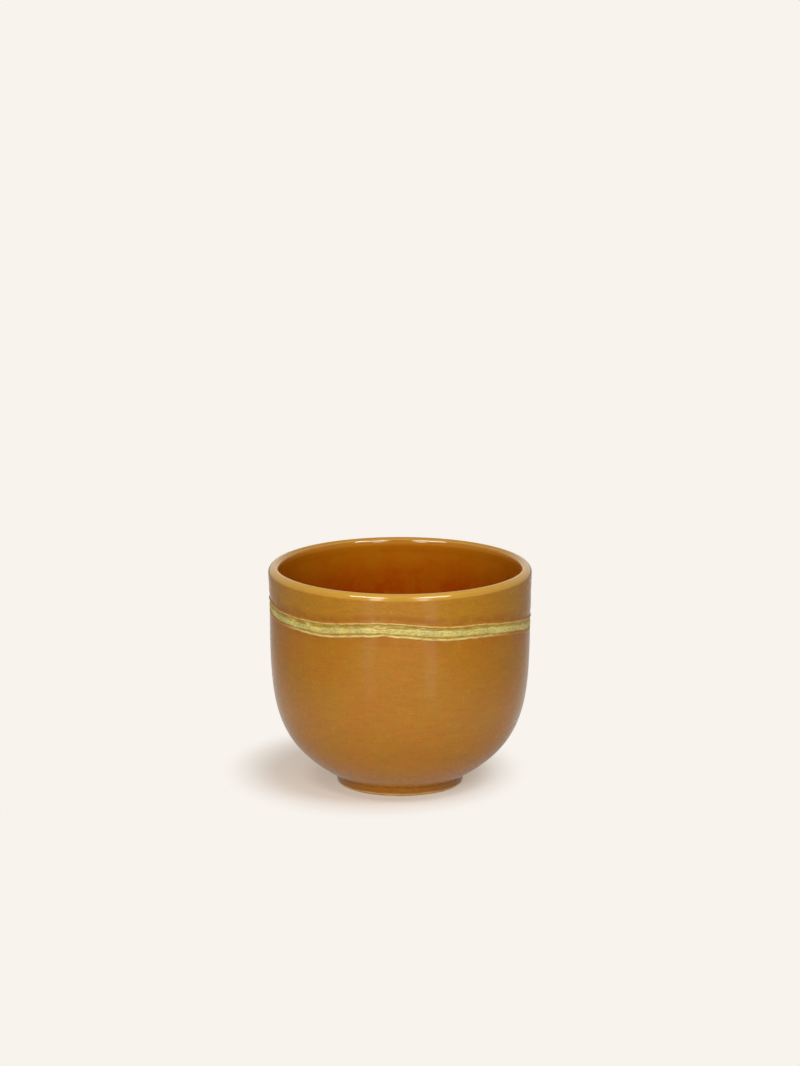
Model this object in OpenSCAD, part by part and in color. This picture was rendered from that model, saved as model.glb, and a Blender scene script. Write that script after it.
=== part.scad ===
// Handle-free porcelain cup. A thrown bowl on a low turned foot carries a separate
// collar, and a strip of torn clay closes the wavy seam between the two.
// Every clay section has its own coat of fired glaze.
// Millimetres, +Z up, axis on Z, standing on z = 0 with the front towards -Y.

/* [Cup] */
// Outside diameter over the rolled lip
cup_d = 88; // [78:1:100]
// Height from the table to the top of the lip
cup_h = 74.3; // [68:0.1:84]
// Thickness across the lip, glaze included
lip_t = 3.6; // [3.2:0.1:4.6]
// Radius of the lip's outer round
lip_round = 2.1; // [1.6:0.1:2.4]
// How far the lip rolls out past the collar
lip_roll = 0.25; // [0.1:0.05:0.6]
// Thickness of every coat of glaze
glaze_t = 0.35; // [0.2:0.05:0.5]

/* [Bowl] */
// Height of the upright stretch between the lip's top and the bowl's curve
upright_h = 8.3; // [6:0.1:10]
// How far the collar stands out past the bowl
collar_proud = 0.15; // [0.05:0.05:0.4]
// Thickness of the floor over the foot, glaze included
floor_t = 3.9; // [3:0.1:6]
// Lean of the bowl's flank where it leaves the foot, in degrees from upright
flank_lean = 60; // [50:1:66]
// Pull of the flank on the bowl's curve, as a share of the curve's rise
flank_pull_share = 0.4; // [0.3:0.01:0.5]
// Pull of the upright wall on the bowl's curve, as a share of the curve's rise
wall_pull_share = 0.62; // [0.5:0.01:0.7]
// Pull of the flat floor on the inside curve, as a share of the inside radius
floor_pull_share = 0.87; // [0.8:0.01:0.9]
// Pull of the upright wall on the inside curve, as a share of the inside rise
inside_pull_share = 0.85; // [0.8:0.01:0.88]

/* [Foot] */
// Diameter of the foot where it meets the bowl
foot_d = 43; // [36:0.5:50]
// Height of the foot
foot_h = 3.1; // [2:0.1:5]
// Thickness of the foot ring, glaze included
foot_t = 4; // [3:0.1:6]
// How much the foot's outer wall draws in towards the table
foot_draft = 0.5; // [0:0.1:1]
// Bevel on the foot ring's two lower edges
foot_bevel = 0.4; // [0.2:0.1:0.6]

/* [Seam] */
// Mean distance from the lip's top down to the middle of the torn strip
seam_drop = 16; // [13:0.5:24]
// Height of the torn strip
strip_w = 4.2; // [3:0.1:6]
// How far the torn strip lies back from the bowl's surface
strip_set = 0.1; // [0:0.05:0.3]
// Largest rise of the wavy seam over its mean height
wave_h = 4; // [0:0.5:5]

/* [Hidden] */
$fn = 96;

// Steps along a whole curve, along each round of the lip, and round the seam
curve_steps = 20;
round_steps = 5;
seam_steps = 72;

// The wave as the photo shows it at the front, with a calm guess at the back:
// degrees from the front towards +X, and the rise as a share of wave_h
wave_shares = [
    [-180, -0.25], [-145, 0], [-112, 0.5], [-84, 0.8], [-68, 0.64],
    [-50, 0.65], [-35, 0.65], [-15, 1], [0, 1], [20, 0.62],
    [38, 0.47], [60, -0.02], [80, -0.57], [108, -0.8], [145, -0.6], [180, -0.25]
];

// Share of the outside curve at which the collar's skirt and its glaze may start
skirt_share = 0.75;
// Share of the upright's length over which the collar swells out to the lip
swell_share = 0.6;

cup_r = cup_d / 2;
foot_r = foot_d / 2;
collar_r = cup_r - lip_roll;
bowl_r = collar_r - collar_proud;
inside_r = cup_r - lip_t;
lip_in_round = lip_t - lip_round;
upright_z = cup_h - upright_h;
floor_z = foot_h + floor_t;
seam_z = cup_h - seam_drop;
bare_h = foot_bevel + glaze_t;

// Radius of the lap between the bowl's tongue and what it carries: the middle of the clay
lap_r = (inside_r + bowl_r) / 2;
// The tools that cut the seam reach this far past what they cut
overrun = wave_h + strip_w + lip_t;

// One point of a cubic curve, and the direction it runs in there
function curve_at(p, t) =
    pow(1 - t, 3) * p[0] + 3 * pow(1 - t, 2) * t * p[1]
    + 3 * (1 - t) * t * t * p[2] + pow(t, 3) * p[3];
function run_at(p, t) =
    pow(1 - t, 2) * (p[1] - p[0]) + 2 * (1 - t) * t * (p[2] - p[1])
    + t * t * (p[3] - p[2]);

// Points of a curve between two of its shares, moved by d to the left of its run
function curve_line(p, d, from = 0, to = 1) = [
    let (steps = round(curve_steps * abs(to - from)))
    for (i = [0:steps])
        let (t = from + (to - from) * i / steps, v = run_at(p, t))
        curve_at(p, t) + d * [-v.y, v.x] / norm(v)
];

// Control points of the outside, from the foot up, and of the inside, from the floor up
rise = upright_z - foot_h;
inside_rise = upright_z - floor_z;
outside = [
    [foot_r, foot_h],
    [foot_r, foot_h] + flank_pull_share * rise * [sin(flank_lean), cos(flank_lean)],
    [bowl_r, upright_z - wall_pull_share * rise],
    [bowl_r, upright_z]
];
inside = [
    [0, floor_z],
    [floor_pull_share * inside_r, floor_z],
    [inside_r, upright_z - inside_pull_share * inside_rise],
    [inside_r, upright_z]
];

// The outside surface inset by d, standing out by proud, between two shares of its curve
function outside_line(d, proud = 0, from = 0) =
    [for (p = curve_line(outside, d, from)) p + [proud, 0]];

// The lip's section inset by d, from the collar's upright over the top to the inside
function lip_line(d) = concat(
    [[collar_r - d, upright_z + swell_share * (upright_h - lip_round) / 2]],
    [
        for (i = [0:round_steps])
            let (a = 90 * i / round_steps)
            [cup_r - lip_round, cup_h - lip_round] + (lip_round - d) * [cos(a), sin(a)]
    ],
    [
        for (i = [1:round_steps])
            let (a = 90 + 90 * i / round_steps)
            [cup_r - lip_round, cup_h - lip_in_round] + (lip_in_round - d) * [cos(a), sin(a)]
    ]
);

// The inside surface set back by d, from the lip's inner edge down to the floor
function inside_line(d) =
    concat([[inside_r + d, cup_h - lip_in_round]], curve_line(inside, -d, 1, 0));

function backwards(list) = [for (i = [len(list) - 1:-1:0]) list[i]];

// Rise of the seam at one angle: a smooth curve through the stations of the wave
function slope_at(k) =
    let (n = len(wave_shares) - 1, a = k == 0 ? n - 1 : k - 1, b = k == n ? 1 : k + 1)
    (wave_shares[b][1] - wave_shares[a][1])
    / ((wave_shares[b][0] - wave_shares[a][0] + 360) % 360);
function wave_between(k, angle) =
    let (
        p = wave_shares[k], q = wave_shares[k + 1],
        span = q[0] - p[0], s = (angle - p[0]) / span
    )
    (1 + 2 * s) * pow(1 - s, 2) * p[1] + s * pow(1 - s, 2) * span * slope_at(k)
    + s * s * (3 - 2 * s) * q[1] + s * s * (s - 1) * span * slope_at(k + 1);
function station_of(angle) =
    max([for (k = [0:len(wave_shares) - 2]) if (wave_shares[k][0] <= angle) k]);
function seam_height(angle) = seam_z + wave_h * wave_between(station_of(angle), angle);

// A ring between the seam's line, shifted by offset, and the flat height end_z.
// The front lies towards -Y, so an angle of zero points that way.
module wavy_ring(offset, end_z) {
    r_in = lap_r - overrun;
    r_out = cup_r + overrun;
    angles = [for (i = [0:seam_steps - 1]) 360 * i / seam_steps - 180];
    function at(r, angle, z) = [r * sin(angle), -r * cos(angle), z];
    points = [
        for (a = angles)
            let (z = seam_height(a) + offset, low = min(z, end_z), high = max(z, end_z))
            each [at(r_in, a, low), at(r_out, a, low), at(r_out, a, high), at(r_in, a, high)]
    ];
    faces = [
        for (i = [0:seam_steps - 1], side = [0:3])
            let (
                a = 4 * i + side, b = 4 * i + (side + 1) % 4,
                j = 4 * ((i + 1) % seam_steps), c = j + (side + 1) % 4, d = j + side
            )
            each [[a, b, c], [a, c, d]]
    ];
    polyhedron(points, faces, convexity = 6);
}

// Cutting tools for the whole wall above, or below, the seam's line
module above_seam(offset) wavy_ring(offset, cup_h + overrun);
module below_seam(offset) wavy_ring(offset, -overrun);

// Two surfaces with a coat of glaze between them, turned round the axis
module coat(over, under) {
    rotate_extrude() polygon(concat(over, backwards(under)));
}

// Clay: the floor and wall, with the tongue that rises behind the seam
module bowl_body() {
    color("antiquewhite") difference() {
        rotate_extrude() polygon(concat(
            [[0, foot_h], [foot_r - glaze_t, foot_h]],
            outside_line(glaze_t),
            curve_line(inside, -glaze_t, 1, 0)
        ));
        difference() {
            above_seam(-strip_w / 2);
            translate([0, 0, -overrun]) cylinder(h = cup_h + 4 * overrun, r = lap_r);
        }
    }
}

// Clay: the upper wall and lip, with the skirt that laps over the tongue
module rim_collar() {
    skirt = backwards(outside_line(glaze_t, collar_proud, skirt_share));
    color("antiquewhite") difference() {
        rotate_extrude() polygon(concat(
            [[lap_r, skirt[len(skirt) - 1].y], [lap_r, upright_z], [inside_r + glaze_t, upright_z]],
            backwards(lip_line(glaze_t)),
            skirt
        ));
        below_seam(strip_w / 2);
    }
}

// Clay: the ring that the cup stands on, bare where it meets the table
module foot_ring() {
    outer_r = foot_r - glaze_t;
    inner_r = foot_r - foot_t + glaze_t;
    color("antiquewhite") rotate_extrude() polygon([
        [inner_r + foot_bevel, 0],
        [outer_r - foot_draft - foot_bevel, 0],
        [outer_r - foot_draft, foot_bevel],
        [outer_r, foot_h],
        [inner_r, foot_h],
        [inner_r, foot_bevel]
    ]);
}

// Clay: the torn strip pressed into the wavy channel
module seam_strip() {
    face = outside_line(glaze_t, -strip_set, skirt_share);
    color("khaki") difference() {
        rotate_extrude() polygon(concat([[lap_r, upright_z], [lap_r, face[0].y]], face));
        above_seam(strip_w / 2);
        below_seam(-strip_w / 2);
    }
}

// Glaze: outside of the bowl, from the foot up to the torn strip
module bowl_glaze() {
    color("peru") difference() {
        coat(outside_line(0), outside_line(glaze_t));
        above_seam(-strip_w / 2);
    }
}

// Glaze: outside of the collar and over the lip to its inner edge
module collar_glaze() {
    color("darkgoldenrod") difference() {
        coat(
            concat(outside_line(0, collar_proud, skirt_share), lip_line(0)),
            concat(outside_line(glaze_t, collar_proud, skirt_share), lip_line(glaze_t))
        );
        below_seam(strip_w / 2);
    }
}

// Glaze: the thin pale coat on the torn strip
module strip_glaze() {
    color("palegoldenrod") difference() {
        coat(outside_line(0, -strip_set, skirt_share), outside_line(glaze_t, -strip_set, skirt_share));
        above_seam(strip_w / 2);
        below_seam(-strip_w / 2);
    }
}

// Glaze: the whole inside, from the lip's inner edge to the middle of the floor
module liner_glaze() {
    color("saddlebrown") coat(inside_line(0), inside_line(glaze_t));
}

// Glaze: the foot's outer wall, kept clear of the table
module foot_glaze() {
    drawn_in = foot_draft * (foot_h - bare_h) / (foot_h - foot_bevel);
    color("sienna") rotate_extrude() polygon([
        [foot_r - glaze_t - drawn_in, bare_h],
        [foot_r - drawn_in, bare_h],
        [foot_r, foot_h],
        [foot_r - glaze_t, foot_h]
    ]);
}

// Glaze: the recess under the floor and the foot ring's inner wall
module base_glaze() {
    recess_r = foot_r - foot_t + glaze_t;
    color("sienna") rotate_extrude() polygon([
        [0, foot_h - glaze_t],
        [recess_r - glaze_t, foot_h - glaze_t],
        [recess_r - glaze_t, bare_h],
        [recess_r, bare_h],
        [recess_r, foot_h],
        [0, foot_h]
    ]);
}

bowl_body();
rim_collar();
foot_ring();
seam_strip();
bowl_glaze();
collar_glaze();
strip_glaze();
liner_glaze();
foot_glaze();
base_glaze();
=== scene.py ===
"""Looks of a porcelain cup with a torn clay seam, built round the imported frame.

The packed clay sections stay as they are. Every coat of glaze and the torn strip are
modelled again here, finer, with the wavy seam, its ridges and the grain of the clay.
Blender units are metres, the sizes below are millimetres. +Z is up, the cup's axis is Z
and its front faces -Y.
"""

import logging
import math
from dataclasses import dataclass
from enum import Enum

import bpy
import numpy as np
from mathutils import Euler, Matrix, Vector, noise


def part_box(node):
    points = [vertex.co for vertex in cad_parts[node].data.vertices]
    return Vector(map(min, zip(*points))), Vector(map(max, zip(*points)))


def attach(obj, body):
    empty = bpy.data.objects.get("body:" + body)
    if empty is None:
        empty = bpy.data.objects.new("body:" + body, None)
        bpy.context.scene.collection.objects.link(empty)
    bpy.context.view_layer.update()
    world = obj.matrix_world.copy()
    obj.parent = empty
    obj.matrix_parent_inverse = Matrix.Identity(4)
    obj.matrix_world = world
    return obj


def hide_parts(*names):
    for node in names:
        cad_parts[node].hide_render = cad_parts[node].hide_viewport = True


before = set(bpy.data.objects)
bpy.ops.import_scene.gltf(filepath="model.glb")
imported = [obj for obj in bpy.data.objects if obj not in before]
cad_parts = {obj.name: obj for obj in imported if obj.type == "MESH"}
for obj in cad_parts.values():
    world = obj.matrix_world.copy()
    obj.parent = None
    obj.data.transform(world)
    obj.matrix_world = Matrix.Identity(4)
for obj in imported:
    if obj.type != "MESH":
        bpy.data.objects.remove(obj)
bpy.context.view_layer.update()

MM = 0.001
FULL_TURN = 2 * math.pi
CURVE_POINTS = 401
ARC_POINTS = 33
CORNER_SHARE = 0.25
MERGE_DISTANCE = 1e-7
ON_AXIS = 1e-4
NOISE_START = (31.7, 17.3, 53.9)
NOISE_DROP = 1.0
NOISE_RATIO = 2.0

LOG = logging.getLogger("cup")

Socket = bpy.types.NodeSocket
# An outline is an array of (radius, height) rows in millimetres.
Outline = np.ndarray
Pair = tuple[float, float]
Triple = tuple[float, float, float]
Colour = Triple
# A run of colours has rows of (value that it follows, colour, strength).
ColourRun = tuple[tuple[float, Colour, float], ...]


def tint(red: int, green: int, blue: int) -> Colour:
    """Turn a colour as a screen shows it into the linear one that a shader takes.

    Args:
        red: Red, from 0 to 255.
        green: Green, from 0 to 255.
        blue: Blue, from 0 to 255.

    Returns:
        The three linear shares.
    """

    def linear(level: int) -> float:
        """Undo the screen's curve for one level."""
        share = level / 255
        return share / 12.92 if share <= 0.04045 else ((share + 0.055) / 1.055) ** 2.4

    return linear(red), linear(green), linear(blue)


def ease(value: np.ndarray, low: float, high: float) -> np.ndarray:
    """Rise smoothly from 0 at low to 1 at high.

    Args:
        value: The numbers to ease.
        low: Where the rise starts.
        high: Where it ends.

    Returns:
        The eased shares.
    """
    share = np.clip((value - low) / (high - low), 0, 1)
    return share * share * (3 - 2 * share)


def bell(away: np.ndarray, wide: float) -> np.ndarray:
    """Give 1 at no distance, falling off on both sides over a width."""
    return np.exp(-((away / wide) ** 2))


@dataclass(frozen=True)
class Lumps:
    """One seeded field of smooth lumps in the clay.

    size is that of the largest lumps in millimetres, octaves counts the layers, each finer
    than the one before, and squeeze scales x, y and z before the field is read.
    """

    size: float
    octaves: int
    seed: float
    squeeze: Triple = (1, 1, 1)

    def at(self, places: np.ndarray, seed: float = 0.0) -> np.ndarray:
        """Read the field at many places.

        Args:
            places: Rows of x, y and z in millimetres.
            seed: Added to the field's own seed.

        Returns:
            One value for each place, from about -1 to 1.
        """
        start = np.array(NOISE_START) * (1 + self.seed + seed)
        basis = {"noise_basis": "PERLIN_ORIGINAL"}
        return np.array(
            [
                noise.fractal(Vector(row), NOISE_DROP, NOISE_RATIO, self.octaves, **basis)
                for row in places * np.array(self.squeeze) / self.size + start
            ]
        )


# Sizes


@dataclass(frozen=True)
class CupSizes:
    """Sizes of the cup in millimetres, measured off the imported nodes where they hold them."""

    cup_r: float
    cup_h: float
    inside_r: float
    bowl_r: float
    floor_z: float
    foot_r: float
    foot_h: float
    bare_h: float
    foot_in_r: float
    glaze_t: float
    strip_set: float = 0.1
    lip_round: float = 2.1
    lip_roll: float = 0.25
    upright_h: float = 8.3
    foot_draft: float = 0.5
    foot_bevel: float = 0.4
    seam_drop: float = 16.0
    flank_lean: float = 60.0
    flank_pull_share: float = 0.4
    wall_pull_share: float = 0.62
    floor_pull_share: float = 0.87
    inside_pull_share: float = 0.85

    @classmethod
    def from_frame(cls) -> "CupSizes":
        """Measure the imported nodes.

        Returns:
            The sizes that the rest of the scene works from.
        """
        collar, clay_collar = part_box("collar_glaze")[1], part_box("rim_collar")[1]
        liner_low, liner_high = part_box("liner_glaze")
        foot_low, foot_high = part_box("foot_glaze")
        glaze_t = (collar.z - clay_collar.z) / MM
        return cls(
            cup_r=collar.x / MM,
            cup_h=collar.z / MM,
            inside_r=liner_high.x / MM - glaze_t,
            bowl_r=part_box("strip_glaze")[1].x / MM + cls.strip_set,
            floor_z=liner_low.z / MM + glaze_t,
            foot_r=foot_high.x / MM,
            foot_h=foot_high.z / MM,
            bare_h=foot_low.z / MM,
            foot_in_r=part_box("base_glaze")[1].x / MM,
            glaze_t=glaze_t,
        )

    @property
    def collar_r(self) -> float:
        """Outside radius of the collar under the lip."""
        return self.cup_r - self.lip_roll

    @property
    def crown_r(self) -> float:
        """Radius of the ring that is the lip's highest line."""
        return self.cup_r - self.lip_round

    @property
    def lip_in_round(self) -> float:
        """Radius of the lip's inner round."""
        return self.crown_r - self.inside_r

    @property
    def upright_z(self) -> float:
        """Height at which the walls are upright."""
        return self.cup_h - self.upright_h

    @property
    def seam_z(self) -> float:
        """Mean height of the middle of the torn strip."""
        return self.cup_h - self.seam_drop

    def outside_curve(self) -> Outline:
        """Draw the bowl's outside.

        Returns:
            The curve from the foot up to the upright wall.
        """
        rise = self.upright_z - self.foot_h
        lean = math.radians(self.flank_lean)
        pull = self.flank_pull_share * rise
        return bent_line(
            (self.foot_r, self.foot_h),
            (self.foot_r + pull * math.sin(lean), self.foot_h + pull * math.cos(lean)),
            (self.bowl_r, self.upright_z - self.wall_pull_share * rise),
            (self.bowl_r, self.upright_z),
        )

    def inside_curve(self) -> Outline:
        """Draw the cup's inside.

        Returns:
            The curve from the middle of the floor up to the upright wall.
        """
        rise = self.upright_z - self.floor_z
        return bent_line(
            (0.0, self.floor_z),
            (self.floor_pull_share * self.inside_r, self.floor_z),
            (self.inside_r, self.upright_z - self.inside_pull_share * rise),
            (self.inside_r, self.upright_z),
        )

    def bowl_radius(self, height: np.ndarray) -> np.ndarray:
        """Give the bowl's outside radius at each height."""
        curve = self.outside_curve()
        return np.interp(height, curve[:, 1], curve[:, 0])


def bent_line(*pulls: Pair) -> Outline:
    """Draw a cubic curve through its two ends, drawn towards two pulls.

    Args:
        pulls: Start, first pull, second pull and end, each a radius and a height.

    Returns:
        The curve as close points.
    """
    start, first, second, end = (np.array(pull) for pull in pulls)
    t = np.linspace(0, 1, CURVE_POINTS)[:, None]
    return (
        (1 - t) ** 3 * start
        + 3 * (1 - t) ** 2 * t * first
        + 3 * (1 - t) * t**2 * second
        + t**3 * end
    )


def evened(outline: Outline, step: float) -> Outline:
    """Lay points at even steps along an outline.

    Args:
        outline: The outline to follow.
        step: Wanted distance between points.

    Returns:
        The outline with its ends kept.
    """
    lengths = np.hypot(*np.diff(outline, axis=0).T)
    along = np.concatenate([[0], np.cumsum(lengths)])
    marks = np.linspace(0, along[-1], max(2, round(along[-1] / step) + 1))
    return np.stack([np.interp(marks, along, outline[:, k]) for k in (0, 1)], axis=1)


def rounded(outline: Outline, times: int = 3) -> Outline:
    """Round an outline's corners by cutting them again and again.

    Args:
        outline: The outline to round.
        times: How often its corners are cut.

    Returns:
        The rounded outline with its ends kept.
    """
    for _ in range(times):
        early = (1 - CORNER_SHARE) * outline[:-1] + CORNER_SHARE * outline[1:]
        late = CORNER_SHARE * outline[:-1] + (1 - CORNER_SHARE) * outline[1:]
        cut = np.stack([early, late], axis=1).reshape(-1, 2)
        outline = np.concatenate([outline[:1], cut[1:-1], outline[-1:]])
    return outline


def set_back(outline: Outline, depth: float) -> Outline:
    """Move an outline to the left of its run, square to it.

    Args:
        outline: The outline to move.
        depth: How far it moves in millimetres.

    Returns:
        The moved outline.
    """
    run = np.gradient(outline, axis=0)
    run /= np.hypot(*run.T)[:, None]
    return outline + depth * np.stack([-run[:, 1], run[:, 0]], axis=1)


def quarter_round(centre: Pair, radius: float, start: float, flat: float = 0.0) -> Outline:
    """Draw a quarter of a circle, counting its angle from outwards to upwards.

    Args:
        centre: Radius and height of its middle.
        radius: Its own radius.
        start: Angle at which it starts, in degrees.
        flat: How far it is pressed in at its middle, as by a finger.

    Returns:
        The quarter as close points.
    """
    turn = np.linspace(0, 90, ARC_POINTS)
    reach = radius - flat * np.sin(np.radians(2 * turn)) ** 2
    angle = np.radians(start + turn)
    return np.array(centre) + (reach * np.stack([np.cos(angle), np.sin(angle)])).T


# The seam


@dataclass(frozen=True)
class SeamWave:
    """The wave that the seam makes round the cup, as the clay sections have it.

    Each station is an angle from the front towards +X and a share of the wave's height.
    """

    wave_h: float = 4.0
    stations: tuple[Pair, ...] = (
        (-180, -0.25), (-145, 0), (-112, 0.5), (-84, 0.8), (-68, 0.64), (-50, 0.65),
        (-35, 0.65), (-15, 1), (0, 1), (20, 0.62), (38, 0.47), (60, -0.02), (80, -0.57),
        (108, -0.8), (145, -0.6), (180, -0.25),
    )  # fmt: skip

    def rise(self, angle: np.ndarray) -> np.ndarray:
        """Give the seam's rise over its mean height.

        Args:
            angle: Angles from the front towards +X, in degrees from -180 to 180.

        Returns:
            The rise at each angle, in millimetres.
        """
        at, share = np.array(self.stations).T
        around = np.concatenate([[at[-2] - 360], at, [at[1] + 360]])
        shares = np.concatenate([[share[-2]], share, [share[1]]])
        slope = (shares[2:] - shares[:-2]) / (around[2:] - around[:-2])
        k = np.clip(np.searchsorted(at, angle, side="right") - 1, 0, len(at) - 2)
        span = at[k + 1] - at[k]
        s = (angle - at[k]) / span
        return self.wave_h * (
            (1 + 2 * s) * (1 - s) ** 2 * share[k]
            + s * (1 - s) ** 2 * span * slope[k]
            + s * s * (3 - 2 * s) * share[k + 1]
            + s * s * (s - 1) * span * slope[k + 1]
        )


class SeamEdge(Enum):
    """The two torn edges that face each other across the strip."""

    UPPER = 1
    LOWER = -1


@dataclass(frozen=True)
class SeamRelief:
    """Relief across the seam, measured from its middle and from the bowl's wall.

    The rows of the two torn edges and of the strip's face are (outward, upward) in
    millimetres. Angles are in degrees from the front. The ridges are lumpy all round and
    worn through in places, and the lower one dies away towards both sides of the cup.
    """

    reach: float = 6.0
    upper_rows: tuple[Pair, ...] = (
        (-0.28, 1.3), (-0.24, 1.52), (-0.06, 1.74), (0.09, 1.88), (0.19, 2.05), (0.13, 2.2),
        (0.06, 2.38), (-0.02, 2.75), (-0.04, 3.3), (0.08, 4.3), (0.15, 5.0),
    )  # fmt: skip
    lower_rows: tuple[Pair, ...] = (
        (0.0, -4.2), (-0.02, -3.0), (0.0, -2.5), (0.1, -2.3), (0.18, -2.1), (0.12, -1.95),
        (-0.04, -1.82), (-0.18, -1.66), (-0.28, -1.42),
    )  # fmt: skip
    strip_rows: tuple[Pair, ...] = (
        (-0.38, -1.9), (-0.28, -1.6), (-0.2, -1.42), (-0.04, -1.22), (0.0, -0.9), (0.02, -0.2),
        (0.0, 0.3), (-0.07, 0.55), (-0.12, 0.9), (-0.16, 1.2), (-0.22, 1.48), (-0.38, 1.9),
    )  # fmt: skip
    back: float = -0.6
    hook: Pair = (1.6, 3.0)
    ridge_at: float = 2.05
    ridge_wide: float = 0.38
    ridge_h: float = 0.16
    ragged: float = 0.14
    ragged_fade: float = 1.0
    broad: Lumps = Lumps(15, 2, 3)
    fine: Lumps = Lumps(2.5, 3, 7)
    fine_share: float = 0.9
    narrowing: float = 0.16
    narrow_angles: Pair = (25, 52)
    narrow_middle: float = 0.35
    lap_at: float = -7.0
    lap_wide: float = 3.2
    lap_rise: float = 0.45
    lap_upper_share: float = 0.25
    ring_r: float = 44.0
    lumpy: float = 0.09
    ridge_lumps: Lumps = Lumps(2.2, 3, 17)
    front_at: float = -4.0
    front_angles: Pair = (40, 62)
    side_sink_share: float = 0.8
    side_wear_share: float = 0.9
    wear: Lumps = Lumps(0.7, 3, 27, (0.35, 0.35, 1.0))
    wear_ends: Pair = (0.05, 0.35)
    wear_share: float = 0.5

    @property
    def groove(self) -> float:
        """Depth of the groove between the strip and the torn edges."""
        return self.upper_rows[0][0]

    def upper_edge(self) -> Outline:
        """Draw the collar's torn edge, from the groove up to the plain wall."""
        return rounded(np.array([*self.upper_rows, (self.upper_rows[-1][0], self.reach)]))

    def lower_edge(self) -> Outline:
        """Draw the bowl's torn edge, from the plain wall up to the groove."""
        return rounded(np.array([(self.lower_rows[0][0], -self.reach), *self.lower_rows]))

    def strip_face(self) -> Outline:
        """Draw the strip's face from its lower to its upper edge."""
        return rounded(np.array(self.strip_rows))

    def raggedness(self, angle: np.ndarray, edge: SeamEdge) -> np.ndarray:
        """Give how far a torn edge strays from its even line.

        Args:
            angle: Angles round the cup in degrees.
            edge: Which of the two edges.

        Returns:
            Up and down shifts in millimetres.
        """
        turn = np.radians(angle)
        ring = self.ring_r * np.stack([np.sin(turn), -np.cos(turn), 0 * turn], axis=1)
        broad, fine = (lumps.at(ring, edge.value) for lumps in (self.broad, self.fine))
        stray = self.ragged * (broad + self.fine_share * fine)
        inward = self.narrowing * (ease(np.abs(angle), *self.narrow_angles) - self.narrow_middle)
        lap = self.lap_rise * bell(angle - self.lap_at, self.lap_wide)
        if edge is SeamEdge.UPPER:
            lap = self.lap_upper_share * lap
        return stray - edge.value * inward + lap

    def side_share(self, angle: np.ndarray) -> np.ndarray:
        """Give 0 over the cup's front, rising to 1 towards its sides and back."""
        return ease(np.abs(angle - self.front_at), *self.front_angles)

    def lumps(self, turned: "Turned", off: np.ndarray, edge: SeamEdge) -> np.ndarray:
        """Give how far a torn ridge swells and thins along its run.

        Args:
            turned: The vertices of the coat that the ridge is on.
            off: Heights over the middle of the strip, before the wave.
            edge: Which of the two edges.

        Returns:
            Outward shifts in millimetres.
        """
        near = bell(np.abs(off) - self.ridge_at, self.ridge_wide)
        rise = self.lumpy * self.ridge_lumps.at(turned.places, edge.value)
        if edge is SeamEdge.LOWER:
            rise = rise - self.side_sink_share * self.ridge_h * self.side_share(turned.angle)
        return near * rise

    def ridge_share(self, turned: "Turned", edge: SeamEdge) -> np.ndarray:
        """Give how much of a torn ridge's pale glaze is left, worn through in places.

        Args:
            turned: The vertices of the coat that the ridge is on.
            edge: Which of the two edges.

        Returns:
            Shares from 0 to 1.
        """
        wear = ease(self.wear.at(turned.places, edge.value), *self.wear_ends)
        share = 1 - self.wear_share * wear
        if edge is SeamEdge.LOWER:
            share = share * (1 - self.side_wear_share * self.side_share(turned.angle))
        return share


# Working the clay


def clear_selection() -> None:
    """Leave object mode with nothing selected and nothing active."""
    if bpy.context.object is not None and bpy.context.object.mode != "OBJECT":
        bpy.ops.object.mode_set(mode="OBJECT")
    bpy.ops.object.select_all(action="DESELECT")
    bpy.context.view_layer.objects.active = None


def lathed(name: str, section: Outline, segments: int) -> bpy.types.Object:
    """Turn a closed section round the cup's axis, as a lathe would.

    A ring of vertices is laid onto the section and spun. Where the section has an edge
    on the axis, that edge is cut first, so that the pole closes in one point.

    Args:
        name: Name of the finished piece.
        section: The closed section, its last point joined to its first.
        segments: How many faces go round.

    Returns:
        The turned shell, with its faces pointing outwards.
    """
    clear_selection()
    bpy.ops.mesh.primitive_circle_add(vertices=len(section), radius=1.0, location=(0, 0, 0))
    piece = bpy.context.object
    piece.name = piece.data.name = name
    places = np.zeros((len(section), 3))
    places[:, 0], places[:, 2] = section[:, 0] * MM, section[:, 1] * MM
    piece.data.vertices.foreach_set("co", places.ravel())
    on_axis = section[:, 0] == 0
    for vertex in piece.data.vertices:
        vertex.select = False
    for edge in piece.data.edges:
        edge.select = all(on_axis[v] for v in edge.vertices)
    bpy.ops.object.mode_set(mode="EDIT")
    bpy.ops.mesh.select_mode(type="EDGE")
    bpy.ops.mesh.delete(type="EDGE")
    bpy.ops.mesh.select_mode(type="VERT")
    bpy.ops.object.mode_set(mode="OBJECT")
    turn = piece.modifiers.new("turn", "SCREW")
    turn.axis, turn.angle, turn.screw_offset = "Z", FULL_TURN, 0
    turn.steps = turn.render_steps = segments
    bpy.ops.object.modifier_apply(modifier=turn.name)
    bpy.ops.object.mode_set(mode="EDIT")
    bpy.ops.mesh.select_all(action="SELECT")
    bpy.ops.mesh.remove_doubles(threshold=MERGE_DISTANCE)
    bpy.ops.mesh.normals_make_consistent(inside=False)
    bpy.ops.object.mode_set(mode="OBJECT")
    return piece


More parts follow.
